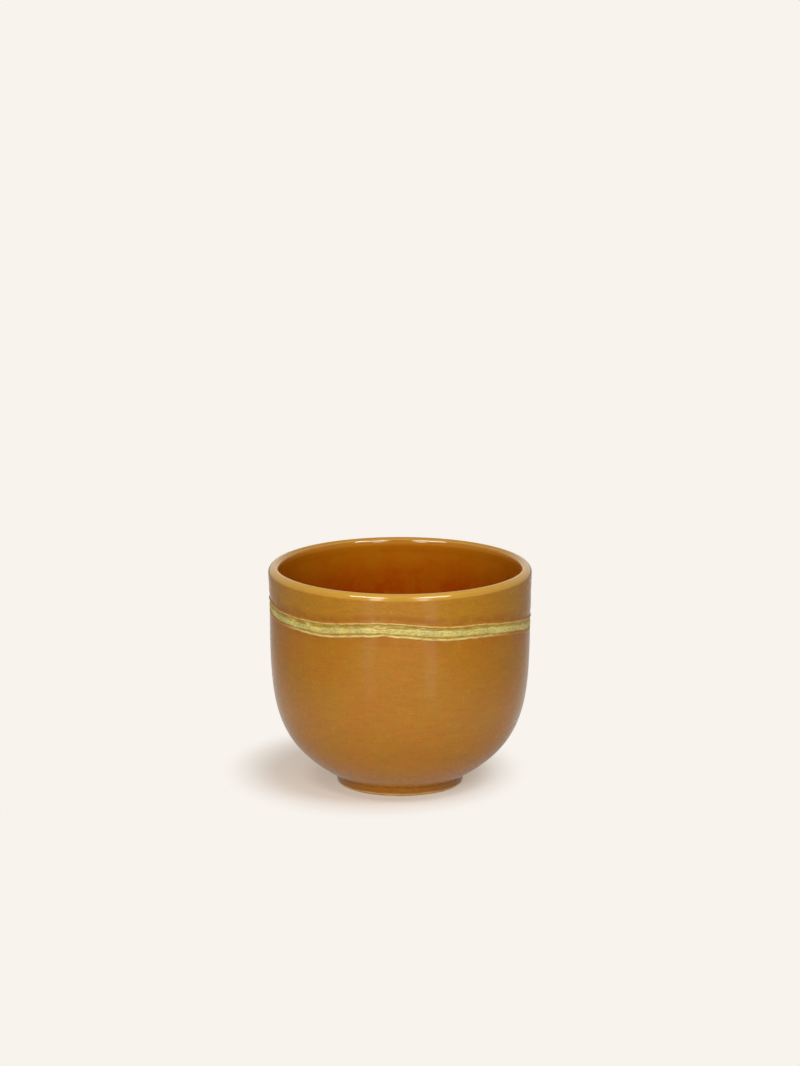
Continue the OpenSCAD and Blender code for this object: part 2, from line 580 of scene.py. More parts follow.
class Turned:
    """The vertices of a turned piece, read as angle, radius and height in millimetres."""

    def __init__(self, piece: bpy.types.Object) -> None:
        """Read a piece's vertices.

        Args:
            piece: The piece to shape.
        """
        self.piece = piece
        places = np.zeros(len(piece.data.vertices) * 3)
        piece.data.vertices.foreach_get("co", places)
        x, y, z = (places.reshape(-1, 3) / MM).T
        self.angle = np.degrees(np.arctan2(x, -y))
        self.radius = np.hypot(x, y)
        self.height = z

    @property
    def places(self) -> np.ndarray:
        """Rows of x, y and z in millimetres."""
        turn = np.radians(self.angle)
        across = (self.radius * np.sin(turn), -self.radius * np.cos(turn))
        return np.stack([*across, self.height], axis=1)

    def close_pole(self) -> None:
        """Put the vertices of a pole exactly on the axis."""
        self.radius[self.radius < ON_AXIS] = 0

    def note(self, name: str, values: np.ndarray) -> None:
        """Keep one number at each vertex for the materials to read."""
        attribute = self.piece.data.attributes.new(name, "FLOAT", "POINT")
        attribute.data.foreach_set("value", values.astype(np.float32))

    def write(self) -> None:
        """Put the shaped vertices back into the piece."""
        self.piece.data.vertices.foreach_set("co", (self.places * MM).ravel())
        self.piece.data.update()


def smoothed(piece: bpy.types.Object, angle: float = 50.0) -> None:
    """Shade a piece smooth and leave its sharper edges crisp.

    Args:
        piece: The piece to shade.
        angle: Angle in degrees over which an edge stays crisp.
    """
    clear_selection()
    piece.select_set(True)
    bpy.context.view_layer.objects.active = piece
    bpy.ops.object.shade_smooth_by_angle(angle=math.radians(angle))


# Finishes


class Rise(Enum):
    """How a value is spread between two ends."""

    SMOOTH = "SMOOTHSTEP"
    EVEN = "LINEAR"


class Blend(Enum):
    """How one colour is laid over another."""

    COVER = "MIX"
    SHADE = "MULTIPLY"


class Ray(Enum):
    """The rays that can be told apart on the stage."""

    CAMERA = "Is Camera Ray"
    GLOSSY = "Is Glossy Ray"
    TRANSMISSION = "Is Transmission Ray"


@dataclass(frozen=True)
class Grain:
    """One field of smooth noise in a finish.

    size is that of its lumps in millimetres, detail counts the finer layers, roughness is
    their strength, and stretch draws the lumps out along x, y and z. What lies between the
    two values of middle is spread over the two levels.
    """

    size: float
    detail: float
    roughness: float
    seed: float
    stretch: Triple = (1, 1, 1)
    middle: Pair = (0.25, 0.75)
    levels: Pair = (0.0, 1.0)


@dataclass(frozen=True)
class Mottling:
    """Two tones that run into each other in clouds, with smaller patches among them.

    cloud_share is the clouds' weight, and the patches have the rest. Between the two values
    of middle the first tone turns into the second.
    """

    clouds: Grain
    patches: Grain
    cloud_share: float
    middle: Pair


@dataclass(frozen=True)
class Specks:
    """Round specks scattered through a finish, their spacing and size in millimetres."""

    spacing: float
    size: float
    strength: float
    seed: float


class NodeBench:
    """A bench on which the nodes of one material or world are laid out and joined."""

    colour_sockets = (6, 7)
    colour_result = 2

    def __init__(self, owner: bpy.types.Material | bpy.types.World) -> None:
        """Start with no nodes.

        Args:
            owner: The material or world that is worked on.
        """
        owner.use_nodes = True
        self.tree = owner.node_tree
        self.tree.nodes.clear()

    def feed(self, socket: Socket, value: object) -> None:
        """Join a socket to another one, or set it to a plain value.

        Args:
            socket: The socket to feed.
            value: Another node's socket, a number, a list or a colour.
        """
        if isinstance(value, Socket):
            self.tree.links.new(value, socket)
        elif isinstance(value, tuple) and socket.type == "RGBA":
            socket.default_value = (*value, 1.0)
        else:
            socket.default_value = value

    def add(
        self, kind: str, fed: dict[str | int, object] | None = None, **settings: str
    ) -> bpy.types.Node:
        """Add a node.

        Args:
            kind: Blender's name for it, without the word Shader.
            fed: What each of its sockets is fed with.
            settings: Its own settings, such as the sum that it works out.

        Returns:
            The node.
        """
        node = self.tree.nodes.new(f"ShaderNode{kind}")
        for name, setting in settings.items():
            setattr(node, name, setting)
        for name, value in (fed or {}).items():
            self.feed(node.inputs[name], value)
        return node

    def span(
        self,
        value: Socket,
        low: float,
        high: float,
        to_low: object = 0.0,
        to_high: object = 1.0,
        rise: Rise = Rise.SMOOTH,
    ) -> Socket:
        """Spread a value from one range over another.

        Args:
            value: The value to spread.
            low: Value that becomes to_low.
            high: Value that becomes to_high.
            to_low: Result at low.
            to_high: Result at high.
            rise: How it rises between the two.

        Returns:
            The spread value, kept between its ends.
        """
        ends = {"From Min": low, "From Max": high, "To Min": to_low, "To Max": to_high}
        spread = self.add("MapRange", {"Value": value, **ends}, interpolation_type=rise.value)
        return spread.outputs["Result"]

    def count(self, operation: str, *terms: object) -> Socket:
        """Work out one number from others."""
        return self.add("Math", dict(enumerate(terms)), operation=operation).outputs[0]

    def blend(
        self, share: object, base: object, over: object, how: Blend = Blend.COVER
    ) -> Socket:
        """Lay one colour over another.

        Args:
            share: How much of the second colour shows.
            base: The first colour.
            over: The second colour.
            how: How the second is laid over the first.

        Returns:
            The blended colour.
        """
        fed = {"Factor": share, **dict(zip(self.colour_sockets, (base, over)))}
        laid = self.add("Mix", fed, data_type="RGBA", blend_type=how.value)
        return laid.outputs[self.colour_result]

    def rays(self, *kinds: Ray) -> Socket:
        """Tell whether a ray is of one of the kinds named.

        Args:
            kinds: The kinds of rays.

        Returns:
            1 where it is, and otherwise 0.
        """
        paths = self.add("LightPath").outputs
        seen = paths[kinds[0].value]
        for kind in kinds[1:]:
            seen = self.count("MAXIMUM", seen, paths[kind.value])
        return seen

    def plain(self, kind: str, colour: object) -> Socket:
        """Add a plain shader of one colour."""
        return self.add(kind, {"Color": colour}).outputs[0]

    def either(self, share: object, first: object, second: object) -> Socket:
        """Mix two shaders by a share of the second."""
        return self.add("MixShader", {0: share, 1: first, 2: second}).outputs[0]

    def show(self, surface: Socket, output: str = "OutputMaterial") -> None:
        """Join the finished surface to the output."""
        self.add(output, {"Surface": surface})


class FinishBench(NodeBench):
    """A bench for the finish of one piece, whose patterns are measured in millimetres.

    A seed moves a field on by its steps. thinned spreads the patches of a run of colours
    over what the run loses there, and between the values of unthinned that loss ends.
    """

    skin_ior = 1.8
    grain_steps = (3.7, 5.1, 2.3)
    speck_steps = (2.9, 4.3, 6.1)
    speck_edge_share = 0.5
    speck_core_share = 0.15
    new_stop_share = 0.5
    thinned = (0.35, 0.62, 0.75, -0.25)
    unthinned = (0.8, 0.95)

    def __init__(self, name: str) -> None:
        """Start a material with a principled shader.

        Args:
            name: Name of the material.
        """
        self.material = bpy.data.materials.new(name)
        super().__init__(self.material)
        self.surface = self.add("BsdfPrincipled")
        self.show(self.surface.outputs["BSDF"])
        fed = {0: self.add("TexCoord").outputs["Object"], "Scale": 1 / MM}
        self.place = self.add("VectorMath", fed, operation="SCALE").outputs["Vector"]
        self.fields: dict[tuple[Grain, float], Socket] = {}

    def field_place(self, scale: list[float], steps: Triple, seed: float) -> Socket:
        """Scale the place that a field is read at, and move it on by a seed."""
        moved = {"Scale": scale, "Location": [seed * step for step in steps]}
        return self.add("Mapping", {"Vector": self.place, **moved}).outputs["Vector"]

    def noise(self, grain: Grain, seed: float = 0.0) -> Socket:
        """Lay out a field of smooth noise, unless it is there already.

        Args:
            grain: The field.
            seed: Added to the field's own seed.

        Returns:
            Its value, from 0 to 1.
        """
        if (grain, seed) not in self.fields:
            scale = [1 / (grain.size * stretch) for stretch in grain.stretch]
            fed = {
                "Vector": self.field_place(scale, self.grain_steps, seed + grain.seed),
                "Scale": 1.0,
                "Detail": grain.detail,
                "Roughness": grain.roughness,
            }
            self.fields[grain, seed] = self.add("TexNoise", fed).outputs["Fac"]
        return self.fields[grain, seed]

    def grained(self, grain: Grain, seed: float = 0.0) -> Socket:
        """Lay out a field of smooth noise, spread over its two levels."""
        return self.span(self.noise(grain, seed), *grain.middle, *grain.levels)

    def mottled(
        self, mottling: Mottling, tones: tuple[Colour, Colour], seed: float = 0.0
    ) -> tuple[Socket, Socket]:
        """Mottle two tones.

        Args:
            mottling: The clouds and patches.
            tones: The two tones.
            seed: Added to the seeds of both fields.

        Returns:
            The mottled colour, and the value of the patches from 0 to 1.
        """
        clouds, patches = (self.noise(g, seed) for g in (mottling.clouds, mottling.patches))
        weaker = self.count("MULTIPLY", patches, 1 - mottling.cloud_share)
        both = self.count("MULTIPLY_ADD", clouds, mottling.cloud_share, weaker)
        return self.blend(self.span(both, *mottling.middle), *tones), patches

    def shaded(self, colour: object, shade: object) -> Socket:
        """Darken and lighten a colour by a shade round 1."""
        return self.blend(1.0, colour, shade, Blend.SHADE)

    def specked(
        self, colour: object, specks: Specks, speck: Colour, seed: float = 0.0
    ) -> Socket:
        """Scatter specks over a colour.

        Args:
            colour: The colour under them.
            specks: How they are scattered.
            speck: Their own colour.
            seed: Added to their own seed.

        Returns:
            The specked colour.
        """
        scale = [1 / specks.spacing] * 3
        place = self.field_place(scale, self.speck_steps, seed + specks.seed)
        cells = self.add("TexVoronoi", {"Vector": place, "Scale": 1.0}).outputs["Distance"]
        width = specks.size / specks.spacing
        dots = self.span(cells, self.speck_edge_share * width, self.speck_core_share * width)
        return self.blend(self.count("MULTIPLY", dots, specks.strength), colour, speck)

    def noted(self, name: str) -> Socket:
        """Read a number that was noted at the piece's vertices."""
        return self.add("Attribute", attribute_name=name).outputs["Fac"]

    def height(self) -> Socket:
        """Read the height over the table in millimetres."""
        return self.add("SeparateXYZ", {0: self.place}).outputs["Z"]

    def wash(
        self, value: Socket, run: ColourRun, base: Socket, patches: Socket | None = None
    ) -> Socket:
        """Lay a run of colours over a base, each with its own strength.

        Args:
            value: The number that the run follows.
            run: The colours, with rising values.
            base: The colour under it.
            patches: Noise that thins the weaker part of the run in patches, or None.

        Returns:
            The washed colour.
        """
        low, high = run[0][0], run[-1][0]
        ramp = self.add("ValToRGB", {"Fac": self.span(value, low, high, rise=Rise.EVEN)})
        ramp.color_ramp.interpolation = "EASE"
        elements = ramp.color_ramp.elements
        while len(elements) < len(run):
            elements.new(self.new_stop_share)
        for element, (at, _, _) in zip(elements, run):
            element.position = (at - low) / (high - low)
        for element, (_, colour, strength) in zip(elements, run):
            element.color = (*colour, strength)
        share = ramp.outputs["Alpha"]
        if patches is not None:
            weak = self.count("SUBTRACT", 1.0, self.span(share, *self.unthinned))
            thin = self.count("MULTIPLY", self.span(patches, *self.thinned), weak)
            share = self.count("MULTIPLY", share, self.count("SUBTRACT", 1.0, thin))
        return self.blend(share, base, ramp.outputs["Color"])

    def bumped(self, height: Socket, depth: float, under: Socket | None = None) -> Socket:
        """Turn a height field into a bump.

        Args:
            height: The field, from 0 to 1.
            depth: Its depth in millimetres.
            under: A bump that this one lies on.

        Returns:
            The bent normal.
        """
        fed = {"Distance": depth * MM, "Height": height}
        if under is not None:
            fed["Normal"] = under
        return self.add("Bump", fed).outputs["Normal"]

    def gloss(self, specular: float, coat: object, coat_roughness: float) -> None:
        """Set how strongly the surface shines and how sharp its outer skin is.

        Args:
            specular: Specular level of the body.
            coat: Weight of the clear skin.
            coat_roughness: Roughness of the clear skin.
        """
        self.feed(self.surface.inputs["Specular IOR Level"], specular)
        self.feed(self.surface.inputs["Coat Weight"], coat)
        self.feed(self.surface.inputs["Coat IOR"], self.skin_ior)
        self.feed(self.surface.inputs["Coat Roughness"], coat_roughness)

    def finish(self, colour: Socket, roughness: Socket, normal: Socket) -> bpy.types.Material:
        """Join the finished colour, roughness and bump to the shader.

        Args:
            colour: The finished colour.
            roughness: The finished roughness.
            normal: The finished bump.

        Returns:
            The material.
        """
        self.feed(self.surface.inputs["Base Color"], colour)
        self.feed(self.surface.inputs["Roughness"], roughness)
        self.feed(self.surface.inputs["Normal"], normal)
        return self.material


def dress(piece: bpy.types.Object, material: bpy.types.Material) -> None:
    """Give a piece one material all over.

    Args:
        piece: The piece to dress.
        material: Its finish.
    """
    if piece.material_slots:
        for material_slot in piece.material_slots:
            material_slot.material = material
    else:
        piece.data.materials.append(material)


@dataclass(frozen=True)
class AmberGlaze:
    """Satin amber glaze: mottled, finely grained and pinholed.

    Its runs of colour follow the numbers noted at a coat's vertices: seam_mm is the height
    over the seam, crown_mm the distance from the lip's crown or from the foot. The run along
    crown_mm carries painted light: on the lip a painted highlight and painted light on its
    top, over the foot a painted reflection of the floor. From the first to the second value of
    torn, in seam_mm, the glaze loses its skin and turns matt.
    crown_coat is the weight of the skin on the lip's back, thinner at its front, and a lip
    that has one is polished.
    """

    name: str
    warm: Colour
    olive: Colour
    seed: float = 1.0
    mottling: Mottling = Mottling(
        Grain(15, 2, 0.5, 0), Grain(2.2, 3, 0.6, 1, (1, 1, 1.6)), 0.45, (0.38, 0.62)
    )
    grain: Grain = Grain(0.45, 2, 0.6, 2, levels=(0.88, 1.12))
    rings: Grain = Grain(0.6, 2, 0.5, 3, (9, 9, 1), levels=(0.93, 1.07))
    ripple: Grain = Grain(5.5, 2, 0.45, 4)
    ripple_depth: float = 0.05
    skin: Grain = Grain(0.7, 2, 0.5, 5)
    skin_depth: float = 0.0025
    patches: Grain = Grain(4.5, 2, 0.55, 6)
    specks: Specks = Specks(4.4, 0.34, 0.45, 0)
    speck: Colour = tint(112, 62, 16)
    roughness: Pair = (0.22, 0.28)
    rough_middle: Pair = (0.3, 0.7)
    specular: float = 0.25
    coat: float = 0.25
    coat_roughness: float = 0.05
    run: ColourRun = ()
    follows: str = "seam_mm"
    ridge: ColourRun = ()
    torn: Pair | None = None
    torn_roughness: float = 0.3
    crown: ColourRun = ()
    crown_coat: float | None = None
    crown_edges: Pair = (3.5, 1.8)
    crown_polish: tuple[float, ...] = (3.3, 1.8, 1.0, 0.35)
    front_coat_share: float = 0.4
    front_ends: Pair = (0.45, 0.95)

    def mixed(self) -> bpy.types.Material:
        """Mix the glaze.

        Returns:
            The material.
        """
        bench = FinishBench(self.name)
        colour, patches = bench.mottled(self.mottling, (self.warm, self.olive), self.seed)
        grain, rings = (bench.grained(g, self.seed) for g in (self.grain, self.rings))
        colour = bench.shaded(colour, bench.count("MULTIPLY", grain, rings))
        colour = bench.specked(self.washed(bench, colour), self.specks, self.speck, self.seed)
        bench.gloss(self.specular, self.skin_weight(bench), self.coat_roughness)
        ripple = bench.bumped(bench.noise(self.ripple, self.seed), self.ripple_depth)
        skin = bench.bumped(bench.noise(self.skin, self.seed), self.skin_depth, ripple)
        return bench.finish(colour, self.roughened(bench, patches), skin)

    def washed(self, bench: FinishBench, colour: Socket) -> Socket:
        """Lay the glaze's runs of colour over its mottled body.

        Args:
            bench: The bench that the glaze is mixed on.
            colour: The colour of its body.

        Returns:
            The washed colour.
        """
        if self.run:
            patches = bench.noise(self.patches, self.seed)
            colour = bench.wash(bench.noted(self.follows), self.run, colour, patches)
        if self.ridge:
            ridged = bench.wash(bench.noted("seam_mm"), self.ridge, colour)
            colour = bench.blend(bench.noted("ridge_share"), colour, ridged)
        # The crown run is painted light (lip highlight and lit lip top, or the floor's reflection
        # over the foot), weighted round the cup by crown_share.
        if self.crown:
            crowned = bench.wash(bench.noted("crown_mm"), self.crown, colour)
            colour = bench.blend(bench.noted("crown_share"), colour, crowned)
        return colour

    def roughened(self, bench: FinishBench, patches: Socket) -> Socket:
        """Roughen the glaze in patches and over a torn edge, and polish it on the crown.

        Args:
            bench: The bench that the glaze is mixed on.
            patches: The patches that its roughness follows.

        Returns:
            The roughness.
        """
        roughness = bench.span(patches, *self.rough_middle, *self.roughness)
        if self.torn:
            matt = bench.span(bench.noted("seam_mm"), *self.torn, 0.0, self.torn_roughness)
            roughness = bench.count("ADD", roughness, matt)
        if self.crown_coat is not None:
            polished = bench.span(bench.noted("crown_mm"), *self.crown_polish)
            roughness = bench.count("MULTIPLY", roughness, polished)
        return roughness

    def skin_weight(self, bench: FinishBench) -> object:
        """Weigh the clear skin, thinner on the crown and gone over a torn edge.

        Args:
            bench: The bench that the glaze is mixed on.

        Returns:
            The weight, a plain number where it is the same all over.
        """
        weight: object = self.coat
        if self.crown_coat is not None:
            ends = (self.crown_coat, self.front_coat_share * self.crown_coat)
            crown = bench.span(bench.noted("crown_share"), *self.front_ends, *ends)
            weight = bench.span(bench.noted("crown_mm"), *self.crown_edges, self.coat, crown)
        if self.torn:
            left = bench.count("SUBTRACT", 1.0, bench.span(bench.noted("seam_mm"), *self.torn))
            weight = bench.count("MULTIPLY", weight, left)
        return weight


@dataclass(frozen=True)
class LinerGlaze:
    """Glossy deep amber glaze of the inside, paler under the lip, where thin glaze and painted light
    on the upper wall both lighten it.
    """

    run: ColourRun
    name: str = "liner_deep_amber_glaze"
    deep: Colour = tint(158, 62, 2)
    olive: Colour = tint(162, 80, 4)
    speck: Colour = tint(72, 30, 4)
    mottling: Mottling = Mottling(
        Grain(13, 2, 0.5, 11), Grain(2.6, 3, 0.6, 12), 0.55, (0.4, 0.62)
    )
    grain: Grain = Grain(0.5, 2, 0.6, 13, levels=(0.88, 1.1))
    ripple: Grain = Grain(6, 2, 0.4, 14)
    ripple_depth: float = 0.05
    skin: Grain = Grain(0.9, 2, 0.5, 15)
    skin_depth: float = 0.004
    patches: Grain = Grain(6, 3, 0.55, 16, (1.4, 1.4, 1), levels=(0.46, 0.6))
    specks: Specks = Specks(4.2, 0.4, 0.5, 5)
    roughness: Pair = (0.08, 0.16)
    rough_middle: Pair = (0.3, 0.7)
    specular: float = 0.3
    coat: float = 0.3
    coat_roughness: float = 0.05

    def mixed(self) -> bpy.types.Material:
        """Mix the glaze.

        Returns:
            The material.
        """
        bench = FinishBench(self.name)
        colour, patches = bench.mottled(self.mottling, (self.deep, self.olive))
        colour = bench.shaded(colour, bench.grained(self.grain))
        colour = bench.wash(bench.height(), self.run, colour, bench.grained(self.patches))
        colour = bench.specked(colour, self.specks, self.speck)
        bench.gloss(self.specular, self.coat, self.coat_roughness)
        ripple = bench.bumped(bench.noise(self.ripple), self.ripple_depth)
        skin = bench.bumped(bench.noise(self.skin), self.skin_depth, ripple)
        return bench.finish(colour, bench.span(patches, *self.rough_middle, *self.roughness), skin)


@dataclass(frozen=True)
class TornGlaze:
    """Thin pale glaze on torn clay: pale on its crests, olive where it pools."""

    name: str = "torn_strip_glaze"
    pale: Colour = tint(206, 195, 122)
    gold: Colour = tint(182, 152, 60)
    olive: Colour = tint(158, 126, 36)
    speck: Colour = tint(126, 98, 34)
    scratches: Grain = Grain(0.42, 3, 0.7, 21, (3, 3, 0.8), (0.3, 0.7), (0.34, 0.55))
    scratch_middle: float = 0.5
    scratch_strength: float = 1.6
    scratch_depth: float = 0.07
    gold_levels: Pair = (-0.5, 0.1)
    pale_levels: Pair = (0.25, 0.85)
    patches: Grain = Grain(5, 2, 0.5, 22, middle=(0.3, 0.7), levels=(0.88, 1.1))
    fine: Grain = Grain(0.22, 2, 0.6, 23)
    fine_depth: float = 0.025
    pits: Specks = Specks(1.2, 0.36, 0.6, 9)
    specular: float = 0.25
    coat: float = 0.15
    coat_roughness: float = 0.12

    def mixed(self) -> bpy.types.Material:
        """Mix the glaze.

        Returns:
            The material.
        """
        bench = FinishBench(self.name)
        scratches = bench.noise(self.scratches)
        swing = bench.count("SUBTRACT", scratches, self.scratch_middle)
        level = bench.count("MULTIPLY_ADD", swing, self.scratch_strength, bench.noted("pale"))
        colour = bench.blend(bench.span(level, *self.gold_levels), self.olive, self.gold)
        colour = bench.blend(bench.span(level, *self.pale_levels), colour, self.pale)
        colour = bench.shaded(colour, bench.grained(self.patches))
        colour = bench.specked(colour, self.pits, self.speck)
        bench.gloss(self.specular, self.coat, self.coat_roughness)
        rough = bench.bumped(scratches, self.scratch_depth)
        fine = bench.bumped(bench.noise(self.fine), self.fine_depth, rough)
        return bench.finish(colour, bench.grained(self.scratches), fine)


@dataclass(frozen=True)
class BareClay:
    """Fired clay without glaze: pale, matt and gritty."""

    name: str
    pale: Colour = tint(226, 205, 172)
    dark: Colour = tint(196, 165, 122)
    grit: Colour = tint(140, 104, 70)
    clouds: Grain = Grain(4, 3, 0.55, 31, middle=(0.3, 0.7))
    grain: Grain = Grain(0.3, 3, 0.7, 32, middle=(0.2, 0.8), levels=(0.84, 1.08))
    grain_depth: float = 0.02
    rings: Grain = Grain(0.5, 2, 0.6, 33)
    ring_depth: float = 0.03
    specks: Specks = Specks(1.3, 0.22, 0.6, 12)
    roughness: Pair = (0.7, 0.9)
    rough_middle: Pair = (0.3, 0.7)

    def mixed(self) -> bpy.types.Material:
        """Mix the clay.

        Returns:
            The material.
        """
        bench = FinishBench(self.name)
        colour = bench.blend(bench.grained(self.clouds), self.dark, self.pale)
        colour = bench.shaded(colour, bench.grained(self.grain))
        colour = bench.specked(colour, self.specks, self.grit)
        grain = bench.noise(self.grain)
        rings = bench.bumped(bench.noise(self.rings), self.ring_depth)
        skin = bench.bumped(grain, self.grain_depth, rings)
        return bench.finish(colour, bench.span(grain, *self.rough_middle, *self.roughness), skin)


# Pieces of the cup


@dataclass
class CupPiece:
    """What every piece of the cup shares: sizes, name, node, slot and finish."""

    sizes: CupSizes
    seam: SeamWave
    relief: SeamRelief
    name: str = ""
    node: str = ""
    slot: str = ""
    segments: int = 720
    hidden_step: float = 4.0

    def section(self) -> Outline:
        """Draw the closed section that the piece is turned from."""
        raise NotImplementedError

    def shape(self, turned: Turned) -> None:
        """Work the turned piece by moving its vertices."""

    def finish(self) -> bpy.types.Material:
        """Mix the material that the piece wears."""
        raise NotImplementedError

    def build(self) -> bpy.types.Object:
        """Turn, work and dress the piece, hide its imported node and hang it under the body's empty.

        Returns:
            The finished object.
        """
        piece = lathed(self.name, self.section(), self.segments)
        turned = Turned(piece)
        self.shape(turned)
        turned.write()
        smoothed(piece)
        dress(piece, self.finish())
        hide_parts(self.node)
        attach(piece, "root")
        LOG.info("%s: %d faces, for node %s", piece.name, len(piece.data.polygons), self.node)
        return piece

    def on_wall(self, rows: Outline) -> Outline:
        """Lay rows of outward and upward, measured from the seam, onto the bowl's wall."""
        height = rows[:, 1] + self.sizes.seam_z
        return np.stack([rows[:, 0] + self.sizes.bowl_radius(height), height], axis=1)

    def hook(self, *offs: float) -> Outline:
        """Draw the hidden points behind a torn edge, at heights over the seam's middle."""
        back_r = self.sizes.bowl_radius(self.sizes.seam_z) + self.relief.back
        return np.array([(back_r, self.sizes.seam_z + off) for off in offs])

    def follow_seam(
        self, turned: Turned, still: float, carried: float, edge: SeamEdge | None = None
    ) -> None:
        """Carry a piece's edge along the wave of the seam.

        Args:
            turned: The piece's vertices.
            still: Height at which nothing moves.
            carried: Height from which all follows the wave in full.
            edge: The torn edge that also strays, or None.
        """
        sizes, relief = self.sizes, self.relief
        base = turned.height.copy()
        off = base - sizes.seam_z
        turned.note("seam_mm", off)
        shift = self.seam.rise(turned.angle) * ease(base, still, carried)
        if edge is not None:
            near = 1 - ease(np.abs(off), relief.ridge_at, relief.reach - relief.ragged_fade)
            shift = shift + near * relief.raggedness(turned.angle, edge)
        turned.height = base + shift
        turned.radius += sizes.bowl_radius(turned.height) - sizes.bowl_radius(base)

    def tear(self, turned: Turned, off: np.ndarray, edge: SeamEdge) -> None:
        """Swell and thin a torn ridge, and note how much of its pale glaze is left.

        Args:
            turned: The piece's vertices.
            off: Their heights over the middle of the strip, before the wave.
            edge: Which of the two torn edges.
        """
        turned.radius += self.relief.lumps(turned, off, edge)
        turned.note("ridge_share", self.relief.ridge_share(turned, edge))


@dataclass
class BowlCoat(CupPiece):
    """Satin amber coat on the bowl, from the foot up to the torn strip."""

    name: str = "bowl_coat"
    node: str = "bowl_glaze"
    slot: str = "bowl_glaze"
    row_step: float = 0.85
    edge_step: float = 0.16
    back_gap: float = 4.0
    still_z: float = 16.0
    carried_gap: float = 8.0
    sway: float = 0.05
    sway_lumps: Lumps = Lumps(26, 2, 1)
    sway_middle: float = 0.5
    sway_rise: float = 8.0

    def section(self) -> Outline:
        """Draw the coat's section.

        Returns:
            Its outside, torn edge and hidden back.
        """
        sizes, relief = self.sizes, self.relief
        curve = sizes.outside_curve()
        edge = self.on_wall(evened(relief.lower_edge(), self.edge_step))
        wall = evened(curve[curve[:, 1] < sizes.seam_z - relief.reach], self.row_step)
        back = evened(set_back(curve, sizes.glaze_t), self.hidden_step)
        top_z = sizes.seam_z - self.back_gap
        back = back[(back[:, 1] > sizes.foot_h) & (back[:, 1] < top_z)]
        heel = [[sizes.foot_r - sizes.glaze_t, sizes.foot_h]]
        near, far = relief.hook
        return np.concatenate([wall, edge[1:], self.hook(-near, -far), back[::-1], heel])

    def shape(self, turned: Turned) -> None:
        """Wave the torn edge and give the wall the slight sway of a thrown pot.

        Args:
            turned: The coat's vertices.
        """
        sizes = self.sizes
        off = turned.height - sizes.seam_z
        self.follow_seam(turned, self.still_z, sizes.seam_z - self.carried_gap, SeamEdge.LOWER)
        self.tear(turned, off, SeamEdge.LOWER)
        # Here crown_mm is the height over the foot, which the painted floor reflection follows.
        turned.note("crown_mm", turned.height - sizes.foot_h)
        turned.note("crown_share", np.ones(len(off)))
        away = ease(turned.height, sizes.foot_h, sizes.foot_h + self.sway_rise)
        turned.radius += self.sway * away * (self.sway_lumps.at(turned.places) - self.sway_middle)

    def finish(self) -> bpy.types.Material:
        """Mix the bowl's amber, orange under the torn edge, pale on its ridge, and paler just over
        the foot with a painted reflection of the floor.

        Returns:
            The material.
        """
        ridge, groove = tint(208, 186, 118), tint(168, 134, 52)
        under, painted_floor_reflection = tint(162, 96, 5), tint(186, 126, 46)
        return AmberGlaze(
            "bowl_amber_glaze",
            warm=tint(170, 106, 9),
            olive=tint(166, 111, 9),
            torn=(-2.6, -1.8),
            run=(
                (-6.5, under, 0.0),
                (-3.4, under, 0.45),
                (-2.5, under, 0.65),
                (-1.4, under, 0.8),
            ),
            ridge=(
                (-2.5, ridge, 0.0),
                (-2.28, ridge, 0.9),
                (-1.9, ridge, 1.0),
                (-1.72, groove, 1.0),
                (-1.4, groove, 1.0),
            ),
            # A painted reflection of the pale floor, strongest just over the foot.
            crown=(
                (0.0, painted_floor_reflection, 0.75),
                (1.2, painted_floor_reflection, 0.6),
                (5.0, painted_floor_reflection, 0.0),
            ),
        ).mixed()


